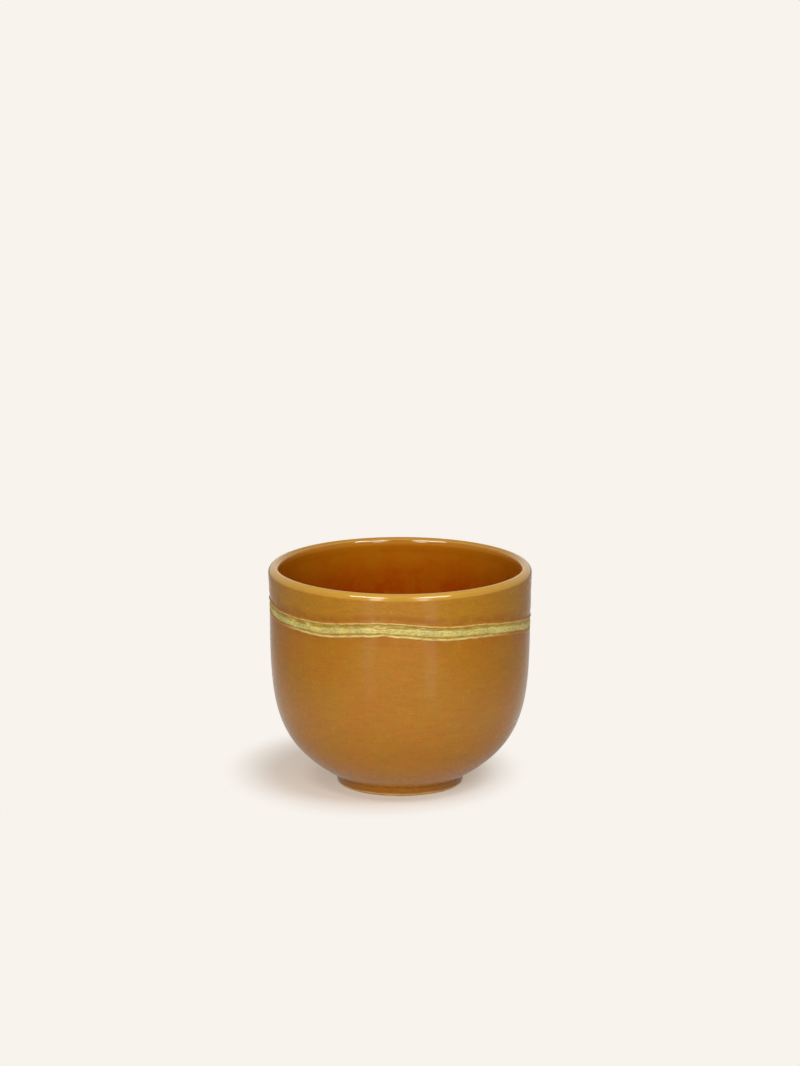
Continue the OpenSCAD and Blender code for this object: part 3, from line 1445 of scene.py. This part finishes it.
@dataclass
class CollarCoat(CupPiece):
    """Satin amber coat on the collar, from the torn strip over the lip to its inner edge."""

    name: str = "collar_coat"
    node: str = "collar_glaze"
    slot: str = "collar_glaze"
    row_step: float = 0.5
    edge_step: float = 0.16
    lip_step: float = 0.16
    back_step: float = 0.9
    outer_press: float = 0.06
    inner_press: float = 0.12
    swell_under: float = 1.0
    swell_past: float = 0.5
    lip_depth: float = 2.5
    wall_crown_mm: float = 3.0
    carried_gap: float = 4.0
    # How far the lip's gold and its painted highlight fade towards the back: painted light,
    # strongest on the front.
    back_fade_share: float = 0.6
    back_angles: Pair = (60, 125)

    def outer_line(self) -> Outline:
        """Draw the seen side.

        Returns:
            The line from over the torn edge to the lip's inner edge.
        """
        sizes = self.sizes
        low, high = sizes.seam_z + self.relief.reach, sizes.cup_h - sizes.lip_round
        height = np.linspace(low, high, round((high - low) / self.row_step) + 1)
        swell = ease(height, sizes.upright_z - self.swell_under, high + self.swell_past)
        wall = np.stack([sizes.collar_r + sizes.lip_roll * swell, height], axis=1)
        wall[-1] = (sizes.cup_r, high)
        outer = quarter_round((sizes.crown_r, high), sizes.lip_round, 0, self.outer_press)
        inner_place = (sizes.crown_r, sizes.cup_h - sizes.lip_in_round)
        inner = quarter_round(inner_place, sizes.lip_in_round, 90, self.inner_press)
        lip = evened(np.concatenate([outer, inner[1:]]), self.lip_step)
        return np.concatenate([wall, lip[1:]])

    def section(self) -> Outline:
        """Draw the coat's section.

        Returns:
            Its torn edge, wall, lip and hidden back.
        """
        sizes, relief = self.sizes, self.relief
        edge = self.on_wall(evened(relief.upper_edge(), self.edge_step))
        seen = self.outer_line()
        back = evened(set_back(seen, sizes.glaze_t), self.back_step)
        back = back[back[:, 1] > sizes.seam_z + relief.reach]
        last = [[sizes.inside_r + sizes.glaze_t, seen[-1, 1]]]
        near, far = relief.hook
        return np.concatenate([edge[:-1], seen, last, back[::-1][1:], self.hook(far, near)])

    def shape(self, turned: Turned) -> None:
        """Wave the torn edge, note how far each point lies from the lip's crown, and note how
        strongly the lip's painted light shows round the cup.

        Args:
            turned: The coat's vertices.
        """
        sizes = self.sizes
        lip_z = sizes.cup_h - self.lip_depth
        down, out = sizes.cup_h - turned.height, turned.radius - sizes.crown_r
        round_crown = np.where(out > 0, 1.0, -1.0) * np.hypot(out, down)
        crown = np.where(turned.height > lip_z, round_crown, self.wall_crown_mm + down)
        off = turned.height - sizes.seam_z
        self.follow_seam(turned, lip_z, sizes.seam_z + self.carried_gap, SeamEdge.UPPER)
        self.tear(turned, off, SeamEdge.UPPER)
        turned.note("crown_mm", crown)
        # crown_share lays the lip's gold and painted highlight on fully at the front and weakly at
        # the back, as painted light that falls on the front.
        behind = ease(np.abs(turned.angle), *self.back_angles)
        turned.note("crown_share", 1 - self.back_fade_share * behind)

    def finish(self) -> bpy.types.Material:
        """Mix the collar's amber: golden on the lip from thin glaze and painted light on its top,
        with a painted highlight along the lip's inner edge, and pooled dark over the seam.

        Returns:
            The material.
        """
        # The pale colour of the lip's inner edge is a painted highlight. The gold is the lip's
        # thinner glaze together with painted light on the lip's top.
        gold, painted_edge_highlight, inner = tint(210, 164, 68), tint(236, 204, 146), tint(168, 101, 8)
        pooled, ridge, groove = tint(158, 95, 4), tint(206, 178, 108), tint(168, 138, 50)
        return AmberGlaze(
            "collar_amber_glaze",
            warm=tint(173, 114, 14),
            olive=tint(170, 118, 16),
            seed=2.0,
            torn=(3.1, 2.4),
            crown_coat=0.2,
            ridge=(
                (1.3, groove, 1.0),
                (1.66, groove, 1.0),
                (1.86, ridge, 1.0),
                (2.2, ridge, 0.9),
                (2.4, ridge, 0.0),
            ),
            run=(
                (1.3, pooled, 0.9),
                (2.5, pooled, 0.9),
                (3.4, pooled, 0.75),
                (6.5, pooled, 0.0),
            ),
            crown=(
                (-2.2, inner, 1.0),
                (-1.5, inner, 0.9),
                # a thin painted highlight along the lip's inner edge
                (-1.2, painted_edge_highlight, 0.85),
                (-0.9, gold, 0.75),
                (-0.4, gold, 0.8),
                (1.4, gold, 0.7),
                (2.4, gold, 0.4),
                (3.4, gold, 0.0),
            ),
        ).mixed()


@dataclass
class TornStrip(CupPiece):
    """The torn strip's thin pale coat: a grainy band under a groove of drawn-out strands.

    The band's low and high edge sway round the cup and pinch together at one place. Each
    soft pair is where that edge starts and ends, measured from it.
    """

    name: str = "torn_strip"
    node: str = "strip_glaze"
    slot: str = "strip_glaze"
    segments: int = 1800
    edge_step: float = 0.095
    back_set: float = 0.2
    band_low: float = -1.2
    low_soft: Pair = (-0.12, 0.1)
    low_sway: float = 0.3
    low_lumps: Lumps = Lumps(4, 3, 15, (1, 1, 0))
    band_high: float = 0.5
    high_soft: Pair = (-0.1, 0.14)
    high_sway: float = 0.45
    high_lumps: Lumps = Lumps(9, 3, 14, (1, 1, 0))
    pinch_at: float = -8.5
    pinch_wide: float = 2.6
    pinch_low: float = 0.35
    pinch_high: float = 0.75
    strand: float = 0.1
    strand_lumps: Lumps = Lumps(0.36, 2, 4, (0.14, 0.14, 1.0))
    strand_thinning_share: float = 0.6
    grain: float = 0.07
    grain_lumps: Lumps = Lumps(0.6, 3, 5, (0.6, 0.6, 1))
    sunk: float = 0.07
    face_ends: Pair = (1.3, 1.8)
    proud: float = 0.12
    crack_lumps: Lumps = Lumps(0.8, 3, 6, (0.14, 0.14, 1.0))
    crack_ends: Pair = (0.02, 0.09)
    crack_dark: float = 0.4
    fleck_lumps: Lumps = Lumps(0.5, 2, 19, (0.7, 0.7, 1.1))
    band_pale: Pair = (0.66, 0.45)
    strand_pale: Pair = (-0.02, 1.25)

    def section(self) -> Outline:
        """Draw the strip's section.

        Returns:
            Its rough face and hidden back.
        """
        face = evened(self.relief.strip_face(), self.edge_step)
        back = self.relief.back - self.back_set
        return self.on_wall(np.concatenate([face, [[back, face[-1, 1]], [back, face[0, 1]]]]))

    def band_share(self, turned: Turned, off: np.ndarray) -> np.ndarray:
        """Give where the grainy band lies.

        Args:
            turned: The strip's vertices.
            off: Their heights over the strip's middle, before the wave.

        Returns:
            1 within the band and 0 beside it.
        """
        pinch = bell(turned.angle - self.pinch_at, self.pinch_wide)
        high_lumps, low_lumps = (
            lumps.at(turned.places) for lumps in (self.high_lumps, self.low_lumps)
        )
        high = self.band_high + self.high_sway * high_lumps - self.pinch_high * pinch
        low = self.band_low + self.low_sway * low_lumps + self.pinch_low * pinch
        over_low = ease(off, *(low + soft for soft in self.low_soft))
        return over_low * (1 - ease(off, *(high + soft for soft in self.high_soft)))

    def shape(self, turned: Turned) -> None:
        """Wave the strip, tear its face and note how pale each place is.

        Args:
            turned: The strip's vertices.
        """
        level = turned.radius - self.sizes.bowl_radius(turned.height)
        off = turned.height - self.sizes.seam_z
        seen = level > self.relief.back
        self.follow_seam(turned, 0, 1)
        places = turned.places
        band = self.band_share(turned, off)
        strands, grains = self.strand_lumps.at(places), self.grain_lumps.at(places)
        rough = self.strand * strands * (1 - self.strand_thinning_share * band)
        rough = rough + self.grain * grains * band
        rough = rough - self.sunk * (1 - band) * (np.abs(off) < self.face_ends[0])
        face = 1 - ease(np.abs(off), *self.face_ends)
        torn = np.clip(level + rough * face, self.relief.groove, self.proud)
        turned.radius += np.where(seen, torn, level) - level
        cracks = ease(np.abs(self.crack_lumps.at(places)), *self.crack_ends)
        flecks = self.fleck_lumps.at(places)
        pale = band * (self.band_pale[0] + self.band_pale[1] * flecks)
        pale = pale + (self.strand_pale[0] + self.strand_pale[1] * strands) * (1 - band)
        turned.note("pale", pale - self.crack_dark * (1 - cracks) * (1 - band))

    def finish(self) -> bpy.types.Material:
        """Mix the strip's pale glaze."""
        return TornGlaze().mixed()


@dataclass
class Liner(CupPiece):
    """The glossy deep amber inside, from the lip's inner edge down to the floor.

    Its run of colours is measured from the lip's inner edge: a paler band of painted light over the
    upper wall, and thin bright glaze just under the lip.
    """

    name: str = "liner_coat"
    node: str = "liner_glaze"
    slot: str = "liner_glaze"
    segments: int = 600
    row_step: float = 1.0
    throwing: float = 0.035
    throwing_lumps: Lumps = Lumps(30, 2, 8)
    throwing_lead: float = 60.0
    throwing_pitch: float = 1.15
    under_lip: Pair = (3, 10)
    off_middle: Pair = (6, 20)
    # The run pales upwards: painted light over the upper inside wall, and thin glaze brightest at
    # the lip itself.
    run: ColourRun = (
        (-18.0, tint(168, 92, 6), 0.0),
        (-4.0, tint(168, 99, 9), 0.75),
        (-1.4, tint(170, 103, 12), 0.9),
        (0.0, tint(196, 130, 36), 1.0),
    )

    @property
    def top_z(self) -> float:
        """Height of the lip's inner edge."""
        return self.sizes.cup_h - self.sizes.lip_in_round

    def section(self) -> Outline:
        """Draw the liner's section.

        Returns:
            Its seen side and hidden back, open on the axis.
        """
        sizes = self.sizes
        curve = sizes.inside_curve()
        seen = np.concatenate([[[sizes.inside_r, self.top_z]], curve[::-1]])
        back = set_back(seen, -sizes.glaze_t)
        back[0] = (sizes.inside_r + sizes.glaze_t, self.top_z)
        back[-1] = (0, sizes.floor_z - sizes.glaze_t)
        seen, back = evened(seen, self.row_step), evened(back, self.hidden_step)
        return np.concatenate([seen, back[::-1]])

    def shape(self, turned: Turned) -> None:
        """Leave the faint rings of throwing on the seen side.

        Args:
            turned: The liner's vertices.
        """
        turned.close_pole()
        down = self.sizes.cup_h - turned.height
        fade = ease(down, *self.under_lip) * ease(turned.radius, *self.off_middle)
        rings = np.sin((down + turned.angle / self.throwing_lead) * self.throwing_pitch)
        rings = rings * self.throwing_lumps.at(turned.places)
        turned.radius += self.throwing * fade * rings

    def finish(self) -> bpy.types.Material:
        """Mix the liner's glaze, thin and bright at the lip, with painted light over its upper wall.
        """
        return LinerGlaze(tuple((self.top_z + at, *wash) for at, *wash in self.run)).mixed()


@dataclass
class FootCoat(CupPiece):
    """Brown amber coat on the foot's outer wall, with a bead rolled along its lower edge."""

    name: str = "foot_coat"
    node: str = "foot_glaze"
    slot: str = "foot_glaze"
    segments: int = 480
    creep: float = 0.4
    tuck: float = 0.05
    bead: float = 0.16
    belly: float = 0.02
    belly_h: float = 0.2
    neck: Pair = (0.03, 0.4)
    creep_lumps: Lumps = Lumps(4, 3, 9)
    creep_sway: float = 0.12
    creep_middle: float = 0.6
    still_gap: float = 0.6

    def section(self) -> Outline:
        """Draw the coat's section.

        Returns:
            The section with its rolled lower edge.
        """
        sizes = self.sizes
        share = (sizes.foot_h - sizes.bare_h) / (sizes.foot_h - sizes.foot_bevel)
        low_r, low_z = sizes.foot_r - sizes.foot_draft * share, sizes.bare_h - self.creep
        seen = rounded(
            np.array(
                [
                    (low_r - sizes.glaze_t - self.tuck, low_z),
                    (low_r - self.bead, low_z),
                    (low_r - self.belly, low_z + self.bead),
                    (low_r + self.belly, sizes.bare_h + self.belly_h),
                    (sizes.foot_r - self.neck[0], sizes.foot_h - self.neck[1]),
                    (sizes.foot_r, sizes.foot_h),
                ]
            )
        )
        return np.concatenate([seen, [[sizes.foot_r - sizes.glaze_t, sizes.foot_h]]])

    def shape(self, turned: Turned) -> None:
        """Let the coat's lower edge creep unevenly.

        Args:
            turned: The coat's vertices.
        """
        low = 1 - ease(turned.height, self.sizes.bare_h, self.sizes.foot_h - self.still_gap)
        creep = self.creep_lumps.at(turned.places) + self.creep_middle
        turned.height += low * self.creep_sway * creep
        turned.note("height_mm", turned.height)

    def finish(self) -> bpy.types.Material:
        """Mix the foot's brown amber, golden where it thins at its lower edge.

        Returns:
            The material.
        """
        golden, heel = tint(214, 166, 84), tint(146, 84, 8)
        return AmberGlaze(
            "foot_brown_glaze",
            warm=tint(167, 100, 12),
            olive=tint(163, 105, 14),
            seed=3.0,
            follows="height_mm",
            run=(
                (0.2, golden, 1.0),
                (0.75, golden, 0.95),
                (1.25, golden, 0.0),
                (2.3, heel, 0.0),
                (3.1, heel, 0.7),
            ),
        ).mixed()


@dataclass
class BaseCoat(CupPiece):
    """Glaze in the recess under the floor."""

    name: str = "base_coat"
    node: str = "base_glaze"
    slot: str = "foot_glaze"
    segments: int = 360
    corner: float = 0.6
    roof_step: float = 1.0
    wall_step: float = 0.3
    roof_depth: float = 0.02
    ring_depth: float = 0.05
    ring_pitch: float = 2.1
    ring_start: Pair = (1, 4)
    ring_end: Pair = (14.5, 16.5)

    @property
    def roof_z(self) -> float:
        """Height of the recess's glazed roof."""
        return self.sizes.foot_h - self.sizes.glaze_t

    def section(self) -> Outline:
        """Draw the recess's section.

        Returns:
            Its roof and wall and their hidden back, open on the axis.
        """
        sizes, roof_z = self.sizes, self.roof_z
        wall_r = sizes.foot_in_r - sizes.glaze_t
        corner = [(wall_r - self.corner, roof_z), (wall_r, roof_z - self.corner)]
        seen = rounded(np.array([(0, roof_z), *corner, (wall_r, sizes.bare_h)]))
        roof, wall = evened(seen[:2], self.roof_step), evened(seen[1:], self.wall_step)
        back = np.array(
            [
                (sizes.foot_in_r, sizes.bare_h),
                (sizes.foot_in_r, sizes.foot_h),
                (sizes.foot_in_r / 2, sizes.foot_h),
                (0, sizes.foot_h),
            ]
        )
        return np.concatenate([roof, wall[1:], back])

    def shape(self, turned: Turned) -> None:
        """Leave the trimming tool's faint rings in the roof.

        Args:
            turned: The coat's vertices.
        """
        turned.close_pole()
        roof = np.abs(turned.height - self.roof_z) < self.roof_depth
        rings = np.sin(turned.radius * self.ring_pitch + np.radians(turned.angle))
        fade = ease(turned.radius, *self.ring_start) * (1 - ease(turned.radius, *self.ring_end))
        turned.height += np.where(roof, self.ring_depth * rings * fade, 0)

    def finish(self) -> bpy.types.Material:
        """Mix the recess's brown amber."""
        warm, olive = tint(140, 78, 18), tint(140, 88, 26)
        return AmberGlaze("base_brown_glaze", warm, olive, seed=4.0).mixed()


@dataclass
class FootRing(CupPiece):
    """The bare clay ring that the cup stands on."""

    name: str = "foot_ring_clay"
    node: str = "foot_ring"
    slot: str = "porcelain"
    segments: int = 480
    bevel_out: float = 0.06
    bevel_up: float = 0.3
    bevel_cuts: int = 2
    sole_step: float = 0.35
    drag: float = 0.03
    drag_lumps: Lumps = Lumps(0.7, 3, 10, (0.5, 0.5, 1))
    drag_middle: float = 0.4
    drag_ends: Pair = (0.5, 0.9)
    worn_flat: float = 0.012

    def section(self) -> Outline:
        """Draw the ring's section.

        Returns:
            Its sole, its two soft bevels and its top.
        """
        sizes = self.sizes
        outer_r, inner_r = sizes.foot_r - sizes.glaze_t, sizes.foot_in_r
        bevel, low_r = sizes.foot_bevel, outer_r - sizes.foot_draft
        up_z = bevel + self.bevel_up
        sole = [(inner_r + bevel, 0), (low_r - bevel, 0)]
        outer = np.array([sole[1], (low_r, bevel), (low_r + self.bevel_out, up_z)])
        inner = np.array([(inner_r, up_z), (inner_r, bevel), sole[0]])
        outer, inner = rounded(outer, self.bevel_cuts), rounded(inner, self.bevel_cuts)
        top = np.array([(outer_r, sizes.foot_h), (inner_r, sizes.foot_h)])
        flat = evened(np.array(sole), self.sole_step)
        return np.concatenate([flat, outer[1:], top, inner[:-1]])

    def shape(self, turned: Turned) -> None:
        """Roughen the ring with the drag of the trimming tool.

        Args:
            turned: The ring's vertices.
        """
        low = 1 - ease(turned.height, *self.drag_ends)
        drag = self.drag_lumps.at(turned.places) + self.drag_middle
        turned.height = np.maximum(turned.height + self.drag * low * drag, 0)
        turned.height[turned.height < self.worn_flat] = 0

    def finish(self) -> bpy.types.Material:
        """Mix the ring's bare clay, toasted in the kiln."""
        return BareClay("foot_ring_bare_clay", tint(214, 184, 140), tint(184, 146, 98)).mixed()


# The studio


WHITE: Colour = (1.0, 1.0, 1.0)
WARM_WHITE: Colour = (1.0, 0.94, 0.78)
GLINT_WHITE: Colour = (0.8, 1.0, 0.92)
MIDDLE_AIM: Triple = (0, 0, 0.04)
LOW_AIM: Triple = (0, 0, 0.03)


class LightKind(Enum):
    """What a light of the studio is hung for."""

    LAMP = "lights everything"
    FILL = "lights matt surfaces and casts no shadow"
    CARD = "glows in the gloss and lights nothing"


@dataclass(frozen=True)
class SoftLight:
    """One soft light: a panel whose place and sizes are in metres."""

    name: str
    place: Triple
    width: float
    length: float
    glow: float
    colour: Colour = WHITE
    kind: LightKind = LightKind.LAMP
    aim: Triple = MIDDLE_AIM

    def hang(self) -> None:
        """Hang the light and turn it to its aim."""
        clear_selection()
        away = Vector(self.place) - Vector(self.aim)
        turn = away.to_track_quat("Z", "Y").to_euler()
        if self.kind is LightKind.CARD:
            self.hang_card(turn)
        else:
            self.hang_lamp(turn)

    def hang_lamp(self, turn: Euler) -> None:
        """Hang a lamp that no camera sees.

        Args:
            turn: How the lamp is turned.
        """
        bpy.ops.object.light_add(type="AREA", location=self.place, rotation=turn)
        lamp = bpy.context.object
        lamp.name = self.name
        lamp.data.shape = "RECTANGLE"
        lamp.data.size, lamp.data.size_y = self.width, self.length
        lamp.data.energy = self.glow * math.pi * self.width * self.length
        lamp.data.color = self.colour
        lamp.visible_camera = False
        if self.kind is LightKind.FILL:
            lamp.visible_glossy = lamp.data.use_shadow = False

    def hang_card(self, turn: Euler) -> None:
        """Hang a glowing card that only glossy surfaces show.

        Args:
            turn: How the card is turned.
        """
        bpy.ops.mesh.primitive_plane_add(size=1, location=self.place, rotation=turn)
        card = bpy.context.object
        card.name = self.name
        card.scale = (self.width, self.length, 1)
        material = bpy.data.materials.new(self.name)
        bench = NodeBench(material)
        glow = bench.add("Emission", {"Color": self.colour, "Strength": self.glow})
        bench.show(glow.outputs[0])
        material.cycles.emission_sampling = "NONE"
        card.data.materials.append(material)
        card.visible_camera = card.visible_diffuse = False
        card.visible_shadow = card.visible_transmission = False


@dataclass(frozen=True)
class Studio:
    """The pale floor, the soft light and the camera of the photograph, in metres."""

    backdrop: Colour = tint(248, 243, 237)
    # Near the cup the floor's glow is warm and its paper cool, so the cup's shadow there takes a
    # painted warm tint standing for light thrown back off the amber glaze.
    paper: Colour = (0.45, 0.445, 0.485)
    paper_glow: Colour = (0.35, 0.287, 0.217)
    floor_half: float = 6.0
    lane: float = 0.85
    aside: float = 0.4
    lane_edges: Pair = (0.07, 0.2)
    foot_edges: Pair = (0.0195, 0.019)
    behind_edges: Pair = (0.01, 0.04)
    # near_edges and near_level paint the cup's shadow into the floor that the gloss shows.
    near_edges: Pair = (0.02, 0.09)
    near_level: float = 0.46
    mirror_level: float = 0.84
    shadow_centre: Pair = (-0.0088, 0.0132)
    shadow_edges: Pair = (0.036, 0.0645)
    shadow_squeeze: float = 1.21
    dome: float = 0.1
    ceiling: float = 0.12
    ceiling_edges: Pair = (0.35, 0.8)
    lights: tuple[SoftLight, ...] = (
        SoftLight("left_window", (-0.77, -2.0, 0.82), 0.36, 1.6, 10.4),
        SoftLight("right_window", (0.77, -2.0, 0.82), 0.36, 1.6, 7.7),
        SoftLight("left_high_box", (-0.55, -0.7, 1.35), 0.7, 0.25, 12.8, WARM_WHITE),
        SoftLight("right_high_box", (0.55, -0.7, 1.35), 0.7, 0.25, 13.8, WARM_WHITE),
        SoftLight("left_glint_card", (-0.55, -0.7, 1.35), 0.7, 0.3, 30, GLINT_WHITE, LightKind.CARD),
        SoftLight("right_glint_card", (0.55, -0.7, 1.35), 0.7, 0.3, 30, GLINT_WHITE, LightKind.CARD),
        SoftLight(
            "left_low_card", (-0.05, -0.12, 0.03), 0.02, 0.055, 0.95, WHITE, LightKind.CARD, LOW_AIM
        ),
        SoftLight(
            "right_low_card", (0.05, -0.12, 0.03), 0.02, 0.055, 1.1, WHITE, LightKind.CARD, LOW_AIM
        ),
        SoftLight("back_fill", (0, 2.2, 1.2), 1.6, 1.0, 2.0, WHITE, LightKind.FILL),
    )
    camera_distance: float = 2.0
    camera_elevation: float = 14.195
    camera_pitch: float = 12.851
    focal_pixels: float = 5966.4
    frame_pixels: int = 1066
    sensor: float = 36.0
    clip: Pair = (0.1, 50.0)

    def build(self, cup_h: float) -> None:
        """Set up the floor, the world, the lights and the camera.

        Args:
            cup_h: Height of the cup in millimetres, half of which the camera circles.
        """
        self.lay_floor()
        self.light_world()
        for light in self.lights:
            light.hang()
        self.set_camera(cup_h)

    def lay_floor(self) -> None:
        """Lay a wide floor that takes the cup's shadow, clear when it is seen from below."""
        clear_selection()
        bpy.ops.mesh.primitive_plane_add(size=2 * self.floor_half, location=(0, 0, 0))
        floor = bpy.context.object
        floor.name = "studio_floor"
        material = bpy.data.materials.new("pale_floor")
        bench = NodeBench(material)
        place = bench.add("TexCoord").outputs["Object"]
        across = bench.add("SeparateXYZ", {0: place}).outputs
        away = bench.add("VectorMath", {0: place}, operation="LENGTH").outputs["Value"]
        side = bench.count("ABSOLUTE", across["X"])
        shade = bench.span(side, *self.lane_edges, self.lane, self.aside)
        matt = self.matt_floor(bench, away, shade)
        mirror = self.mirror_floor(bench, away, across["Y"], shade)
        top = bench.either(bench.rays(Ray.GLOSSY), matt, mirror)
        shown = self.shown_floor(bench, place)
        top = bench.either(bench.rays(Ray.CAMERA, Ray.TRANSMISSION), top, shown)
        below = bench.add("NewGeometry").outputs["Backfacing"]
        bench.show(bench.either(below, top, bench.plain("BsdfTransparent", WHITE)))
        material.cycles.emission_sampling = "NONE"
        floor.data.materials.append(material)

    def matt_floor(self, bench: NodeBench, away: Socket, shade: Socket) -> Socket:
        """Mix the floor as it lights the cup, with a patch under the foot's recess that glows white
        to light the recess, though no lamp is there.

        Args:
            bench: The bench that the floor is mixed on.
            away: Distance from the cup's axis.
            shade: How pale the floor is at each place.

        Returns:
            The shader.
        """
        # A patch under the recess glows white: painted light for the underside.
        under_foot = bench.span(away, *self.foot_edges, rise=Rise.EVEN)
        lit = bench.plain("BsdfDiffuse", shade)
        return bench.either(under_foot, lit, bench.plain("Emission", WHITE))

    def mirror_floor(
        self, bench: NodeBench, away: Socket, behind: Socket, shade: Socket
    ) -> Socket:
        """Mix the floor as the cup's gloss shows it, darker close in front of the cup by a painted
        shadow.

        Args:
            bench: The bench that the floor is mixed on.
            away: Distance from the cup's axis.
            behind: Distance behind the cup's axis.
            shade: How pale the floor is at each place.

        Returns:
            The shader.
        """
        back = bench.span(behind, *self.behind_edges, 0.0, self.mirror_level)
        front = bench.span(away, *self.near_edges, self.near_level, self.mirror_level)
        strength = bench.count("MULTIPLY", shade, bench.count("MAXIMUM", back, front))
        fed = {"Color": self.backdrop, "Strength": strength}
        return bench.add("Emission", fed).outputs[0]

    def shown_floor(self, bench: NodeBench, place: Socket) -> Socket:
        """Mix the floor as the camera sees it: shadowed paper that fades into the backdrop.

        Args:
            bench: The bench that the floor is mixed on.
            place: Where on the floor it is.

        Returns:
            The shader.
        """
        scale = (1 / self.shadow_squeeze, 1, 1)
        fed = {"Vector": place, "Location": (*self.shadow_centre, 0), "Scale": scale}
        moved = bench.add("Mapping", fed, vector_type="TEXTURE").outputs["Vector"]
        away = bench.add("VectorMath", {0: moved}, operation="LENGTH").outputs["Value"]
        lit = bench.plain("BsdfDiffuse", self.paper)
        glow = bench.plain("Emission", self.paper_glow)
        paper = bench.add("AddShader", {0: lit, 1: glow}).outputs[0]
        fade = bench.span(away, *self.shadow_edges)
        return bench.either(fade, paper, bench.plain("Emission", self.backdrop))

    def light_world(self) -> None:
        """Light all round evenly, and show the backdrop to camera and gloss, dimmed overhead."""
        world = bpy.data.worlds.new("studio_world")
        bpy.context.scene.world = world
        bench = NodeBench(world)
        facing = bench.add("TexCoord").outputs["Generated"]
        up = bench.add("SeparateXYZ", {0: facing}).outputs["Z"]
        ceiling = bench.span(up, *self.ceiling_edges, 1.0, self.ceiling, Rise.EVEN)
        strength = bench.count("MAXIMUM", ceiling, bench.rays(Ray.CAMERA))
        dome, sky = (
            bench.add("Background", {"Color": colour, "Strength": level}).outputs[0]
            for colour, level in ((WHITE, self.dome), (self.backdrop, strength))
        )
        seen = bench.rays(Ray.CAMERA, Ray.GLOSSY, Ray.TRANSMISSION)
        bench.show(bench.either(seen, dome, sky), "OutputWorld")

    def set_camera(self, cup_h: float) -> None:
        """Put the camera where the photograph was taken from.

        Args:
            cup_h: Height of the cup in millimetres.
        """
        clear_selection()
        elevation = math.radians(self.camera_elevation)
        back = self.camera_distance * math.cos(elevation)
        up = cup_h * MM / 2 + self.camera_distance * math.sin(elevation)
        turn = (math.radians(90 - self.camera_pitch), 0, 0)
        bpy.ops.object.camera_add(location=(0, -back, up), rotation=turn)
        camera = bpy.context.object
        camera.name = "studio_camera"
        camera.data.sensor_width = self.sensor
        camera.data.lens = self.focal_pixels * self.sensor / self.frame_pixels
        camera.data.clip_start, camera.data.clip_end = self.clip
        bpy.context.scene.camera = camera


def dress_packed_clay() -> None:
    """Give the packed clay sections under the glaze their own clay."""
    clay = BareClay("body_clay").mixed()
    torn = BareClay(
        "torn_clay", pale=tint(214, 200, 150), dark=tint(190, 170, 110), grit=tint(120, 92, 40)
    ).mixed()
    for node, material in (("bowl_body", clay), ("rim_collar", clay), ("seam_strip", torn)):
        dress(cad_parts[node], material)
        LOG.info("%s: packed clay, dressed", node)


def main() -> None:
    """Build the cup and its studio, piece by piece."""
    logging.basicConfig(level=logging.INFO, format="%(name)s: %(message)s")
    bpy.context.scene.view_settings.view_transform = "Standard"
    sizes, seam, relief = CupSizes.from_frame(), SeamWave(), SeamRelief()
    LOG.info("cup %.1f mm wide, %.1f mm high", 2 * sizes.cup_r, sizes.cup_h)
    dress_packed_clay()
    for kind in (BowlCoat, CollarCoat, TornStrip, Liner, FootCoat, BaseCoat, FootRing):
        kind(sizes, seam, relief).build()
    Studio().build(sizes.cup_h)


if __name__ == "__main__":
    main()
